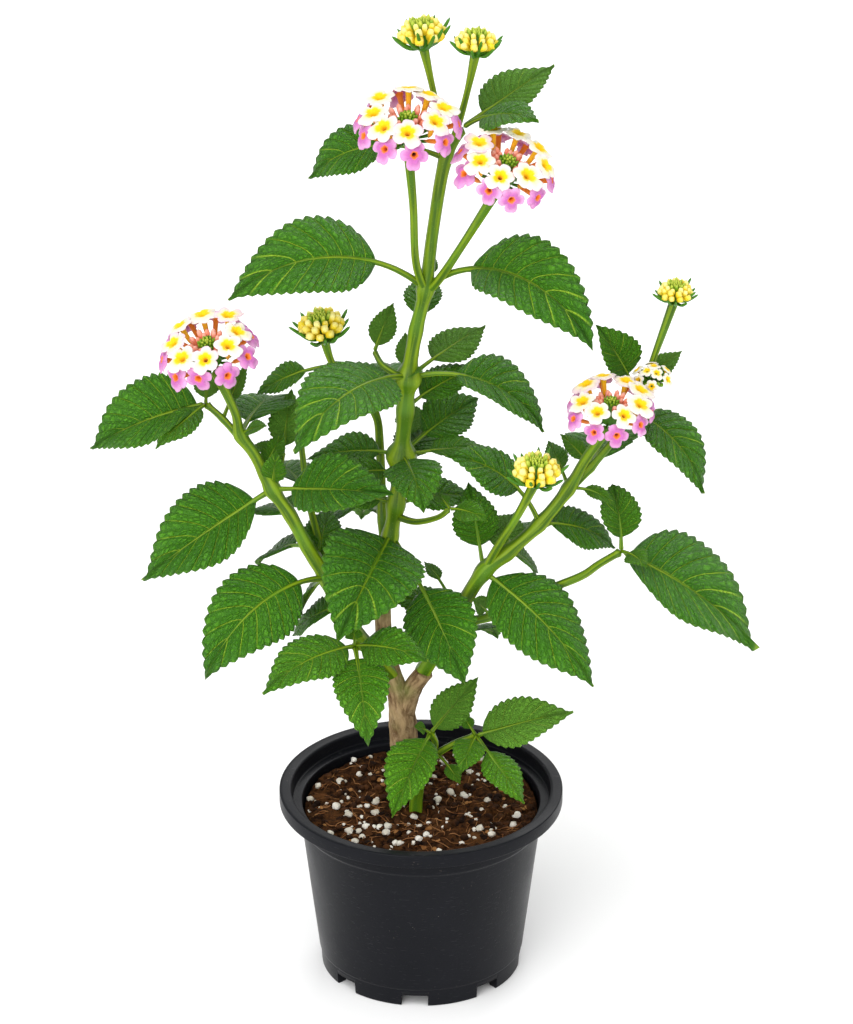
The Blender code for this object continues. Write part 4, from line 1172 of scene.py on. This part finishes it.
def wall_radius(height):
    """The pot's outer radius at a height between its feet and its shoulder."""
    share = (height - FOOT_HEIGHT) / (SHOULDER_HEIGHT - FOOT_HEIGHT)
    return FOOT_RADIUS + (SHOULDER_RADIUS - FOOT_RADIUS) * share


def pot_profile():
    """Half the pot's section, from the middle of its underside out, up, over the lip and down inside."""
    lip_inner = RIM_RADIUS - LIP_WIDTH
    lip_foot = POT_HEIGHT - LIP_DEPTH
    ledge = POT_HEIGHT - LEDGE_DEPTH
    floor_top = FOOT_HEIGHT + BASE_THICKNESS
    ledge_inner = COLLAR_RADIUS - WALL
    return [
        (0, FOOT_HEIGHT),
        (FOOT_RADIUS - FOOT_WIDTH, FOOT_HEIGHT),
        (FOOT_RADIUS - FOOT_WIDTH, 0),
        (FOOT_RADIUS - 0.6, 0),
        (FOOT_RADIUS, FOOT_HEIGHT + 2.5),
        (wall_radius(FOOT_HEIGHT + 3.2) + 0.1, FOOT_HEIGHT + 3.2),
        (SHOULDER_RADIUS - 0.2, SHOULDER_HEIGHT - 0.6),
        (COLLAR_RADIUS, SHOULDER_HEIGHT + 0.4),
        (COLLAR_RADIUS + 0.2, lip_foot - 1.6),
        (lip_inner + 0.4, lip_foot - 1.2),
        (lip_inner + 2.4, lip_foot + 1.8),
        (RIM_RADIUS - 1.3, lip_foot + 1.6),
        (RIM_RADIUS - 1.2, lip_foot),
        (RIM_RADIUS, lip_foot),
        (RIM_RADIUS, POT_HEIGHT - 0.2),
        (RIM_RADIUS - 0.9, POT_HEIGHT),
        (lip_inner + 0.9, POT_HEIGHT - 0.1),
        (lip_inner, POT_HEIGHT - 0.6),
        (lip_inner - 0.3, ledge + 0.1),
        (ledge_inner + 0.2, ledge),
        (ledge_inner - 0.1, ledge - 0.5),
        (SHOULDER_RADIUS - WALL, SHOULDER_HEIGHT),
        (FOOT_RADIUS - WALL - 0.6, floor_top),
        (0, floor_top),
    ]


def foot_cutter():
    """What is cut from the pot, as one object: blocks between its feet, and round drain holes."""
    cutter = bmesh.new()
    gap_width = 2 * FOOT_RADIUS * math.sin(math.radians(FOOT_GAP_ANGLE / 2))
    for k in range(FOOT_COUNT):
        turn = Matrix.Rotation(math.radians(FIRST_GAP_ANGLE + 360 * k / FOOT_COUNT), 3, "Z")
        block = bmesh.ops.create_cube(cutter, size=1.0)["verts"]
        size = (FOOT_WIDTH + 6, gap_width, 2 * (FOOT_HEIGHT - 0.1))
        arrange(cutter, block, size, turn, turn @ Vector((FOOT_RADIUS - FOOT_WIDTH / 2, 0, 0)))
    bmesh.ops.bevel(
        cutter, geom=cutter.edges[:], offset=0.5, segments=2, profile=0.5, affect="EDGES", material=-1
    )
    for k in range(DRAIN_COUNT):
        turn = 2 * math.pi * k / DRAIN_COUNT
        middle = Vector((DRAIN_RING * math.cos(turn), DRAIN_RING * math.sin(turn), FOOT_HEIGHT))
        bmesh.ops.create_cone(
            cutter, cap_ends=True, segments=32, radius1=DRAIN_RADIUS, radius2=DRAIN_RADIUS, depth=8,
            matrix=Matrix.Translation(middle),
        )
    bmesh.ops.scale(cutter, vec=(MM, MM, MM), verts=cutter.verts)
    return new_object("foot_gaps", cutter)


def build_pot(finishes):
    shape = new_shape()
    turned(shape, round_corners(pot_profile(), 0.75), 160)
    pot = finish_piece("pot_moulding", shape, [finishes["pot"]], ["pot"], 35)
    helper = foot_cutter()
    cut = pot.modifiers.new("Foot gaps", "BOOLEAN")
    cut.operation = "DIFFERENCE"
    cut.object = helper
    graph = bpy.context.evaluated_depsgraph_get()
    mesh = bpy.data.meshes.new_from_object(pot.evaluated_get(graph))
    pot.modifiers.clear()
    pot.data = mesh
    bpy.data.objects.remove(helper)


def soil_height(x, y):
    """The peat's surface: low mounds, clods and crumbs, a little higher round the trunk."""
    waves = math.sin(0.21 * x + 1.3) * math.cos(0.19 * y - 0.4) + 0.6 * math.sin(0.47 * x - 0.33 * y)
    mound = 1.2 * math.exp(-((x + 6) ** 2 + (y - 8) ** 2) / 350)
    place = Vector((x, y, 0))
    clods = 1.1 * noise.noise(place / 4.5) + 0.7 * noise.noise(place / 1.9) + 0.4 * noise.noise(place / 0.9)
    return SOIL_HEIGHT - 1.0 + 0.66 * waves + mound + clods


def build_soil(finishes):
    """The peat as one closed body: a turned underside that fits the pot, and an uneven top."""
    shape = new_shape()
    floor = FOOT_HEIGHT + BASE_THICKNESS + SOIL_CLEARANCE
    edge_height = SOIL_HEIGHT - SOIL_EDGE_DROP
    profile = [
        (0, floor), (FOOT_RADIUS - 2.5, floor), (SHOULDER_RADIUS - 1.9, SHOULDER_HEIGHT),
        (SOIL_RADIUS, edge_height),
    ]
    turned(shape, profile, 96)

    def place(u, v):
        turn = 2 * math.pi * u
        x = SOIL_RADIUS * v * math.cos(turn)
        y = SOIL_RADIUS * v * math.sin(turn)
        height = edge_height if v > 0.995 else soil_height(x, y)
        return Vector((x, y, height))

    sheet(shape, 192, 64, place)
    bmesh.ops.remove_doubles(shape, verts=shape.verts, dist=0.002)
    edge = [vertex for vertex in shape.verts if vertex.is_boundary]
    bmesh.ops.remove_doubles(shape, verts=edge, dist=2.2)
    finish_piece("soil_peat", shape, [finishes["peat"]], ["soil"], 180)


def scatter(draw, outer):
    """A random spot on the soil, clear of the trunk."""
    while True:
        reach = outer * math.sqrt(draw.random())
        turn = draw.uniform(0, 2 * math.pi)
        x = reach * math.cos(turn)
        y = reach * math.sin(turn)
        if math.hypot(x + 6, y - 10) > 8 and math.hypot(x + 2, y + 6) > 5:
            return x, y


def add_lump(shape, draw, x, y, size, flat):
    """An angular crumb or grain half sunk in the soil."""
    made = bmesh.ops.create_icosphere(shape, subdivisions=2, radius=size / 2)["verts"]
    shift = Vector((draw.uniform(0, 99), draw.uniform(0, 99), draw.uniform(0, 99)))
    for vertex in made:
        vertex.co *= 1 + 0.45 * noise.noise(vertex.co * (2.2 / size) + shift)
        vertex.co.z *= flat
    turn = Matrix.Rotation(draw.uniform(0, 6.28), 3, "Z")
    tilt = Matrix.Rotation(draw.uniform(-0.5, 0.5), 3, "X")
    arrange(shape, made, (1, 1, 1), turn @ tilt, (x, y, soil_height(x, y) + size * 0.18 * flat))


def add_fibre(shape, draw, x, y, length):
    """A crooked fibre or root lying on the soil."""
    turn = draw.uniform(0, 6.28)
    points = []
    for k in range(5):
        turn += draw.uniform(-0.6, 0.6)
        lift = draw.uniform(0.1, 0.9)
        points.append((x, y, soil_height(x, y) + lift, 0))
        x += length / 4 * math.cos(turn)
        y += length / 4 * math.sin(turn)
        if math.hypot(x, y) > SOIL_RADIUS - 1:
            break
    if len(points) < 3:
        return
    thickness = draw.uniform(0.10, 0.26)
    tube(shape, smooth_path(points, 2), lambda share: thickness * (1.1 - 0.6 * share), 5, 10)


def build_soil_litter(finishes):
    """Crumbs, perlite, bark chips and fibres that lie on the peat."""
    draw = random.Random(12)
    crumbs = new_shape()
    perlite = new_shape()
    chips = new_shape()
    fibres = new_shape()
    for k in range(CRUMB_COUNT):
        x, y = scatter(draw, LITTER_RADIUS)
        add_lump(crumbs, draw, x, y, draw.uniform(1.0, 3.6), draw.uniform(0.5, 0.9))
    for k in range(PERLITE_COUNT):
        size = draw.uniform(0.9, 2.0) if draw.random() < 0.68 else draw.uniform(2.0, 3.9)
        add_lump(perlite, draw, *scatter(draw, LITTER_RADIUS), size, 0.8)
    for k in range(CHIP_COUNT):
        add_lump(chips, draw, *scatter(draw, LITTER_RADIUS), draw.uniform(1.2, 3.0), 0.5)
    for k in range(FIBRE_COUNT):
        add_fibre(fibres, draw, *scatter(draw, LITTER_RADIUS - 1), draw.uniform(4, 13))
    for name, shape, finish in (
        ("soil_crumbs", crumbs, "crumb"), ("soil_perlite", perlite, "perlite"),
        ("soil_chips", chips, "chip"), ("soil_fibres", fibres, "fibre"),
    ):
        finish_piece(name, shape, [finishes[finish]], [], 45)


# Stage


def build_stage():
    """A plain pale floor, soft white light from all sides, four lamps and the camera."""
    shape = bmesh.new()
    bmesh.ops.create_grid(shape, x_segments=2, y_segments=2, size=6.0)
    floor = new_object("floor", shape)
    floor.data.materials.append(Finish("floor_white", (0.93, 0.93, 0.93), 0.7, 0.2).material)

    world = bpy.data.worlds.new("studio")
    bpy.context.scene.world = world
    world.use_nodes = True
    sky = world.node_tree.nodes["Background"].inputs
    sky["Color"].default_value = (1.0, 1.0, 1.0, 1.0)
    sky["Strength"].default_value = SKY_STRENGTH

    for name, kind, place, size, power in LAMPS:
        lamp = bpy.data.lights.new(name, kind)
        lamp.energy = power
        if kind == "SUN":
            lamp.angle = size
        else:
            lamp.size = size
        light = new_object(name, lamp)
        light.location = place
        light.rotation_euler = (Vector(LIGHT_TARGET) - Vector(place)).to_track_quat("-Z", "Y").to_euler()

    camera = new_object("camera", bpy.data.cameras.new("camera"))
    camera.data.lens = CAMERA_LENS
    camera.data.sensor_fit = "AUTO"
    camera.data.clip_start = 0.05
    camera.location = CAMERA_PLACE
    camera.rotation_euler = (math.radians(CAMERA_TILT), 0, 0)
    bpy.context.scene.camera = camera
    bpy.context.scene.view_settings.view_transform = "Standard"


def make_finishes():
    return {
        "leaf": leaf_finish("leaf_top"),
        "leaf_under": leaf_finish("leaf_under", True),
        "stem": stem_finish("green_stem"),
        "bark": bark_finish("young_bark"),
        "lilac": petal_finish(
            "lilac_petal", (0.66, 0.29, 0.55), (0.74, 0.42, 0.64), (0.50, 0.13, 0.40), (0.86, 0.22, 0.02),
            (0.80, 0.24, 0.03), 0.27, 0.38,
        ),
        "cream": petal_finish(
            "cream_petal", (0.80, 0.78, 0.71), (0.78, 0.58, 0.64), (0.82, 0.75, 0.44), (0.88, 0.58, 0.002),
            (0.90, 0.46, 0.02), 0.43, 0.60,
        ),
        "salmon": club_finish("salmon_bud", (0.62, 0.20, 0.05), (0.80, 0.22, 0.12), (0.88, 0.42, 0.33)),
        "yellow_bud": club_finish("yellow_bud", (0.26, 0.36, 0.01), (0.78, 0.60, 0.02), (0.90, 0.82, 0.30)),
        "green_bud": club_finish("green_bud", (0.05, 0.18, 0.008), (0.17, 0.34, 0.015), (0.48, 0.55, 0.06)),
        "pot": pot_finish("pot_plastic"),
        "peat": peat_finish("peat"),
        "crumb": grain_finish("peat_crumb", (0.010, 0.004, 0.002), (0.085, 0.032, 0.010), 0.9),
        "chip": grain_finish("bark_chip", (0.18, 0.07, 0.02), (0.40, 0.20, 0.07), 0.85),
        "perlite": grain_finish("perlite", (0.60, 0.55, 0.46), (0.90, 0.87, 0.80), 0.8),
        "fibre": grain_finish("root_fibre", (0.16, 0.06, 0.02), (0.38, 0.18, 0.07), 0.85),
    }


def main():
    finishes = make_finishes()
    build_pot(finishes)
    build_soil(finishes)
    build_soil_litter(finishes)
    build_trunk(finishes)
    for name, runs in LEAFY_STEMS.items():
        build_leafy_stem(name, runs, finishes)
    for name, row in FLOWER_HEADS.items():
        build_flower_head(name, row, finishes)
    for name, row in BUD_HEADS.items():
        build_bud_head(name, row, finishes)
    build_young_head(finishes)
    build_stage()


main()
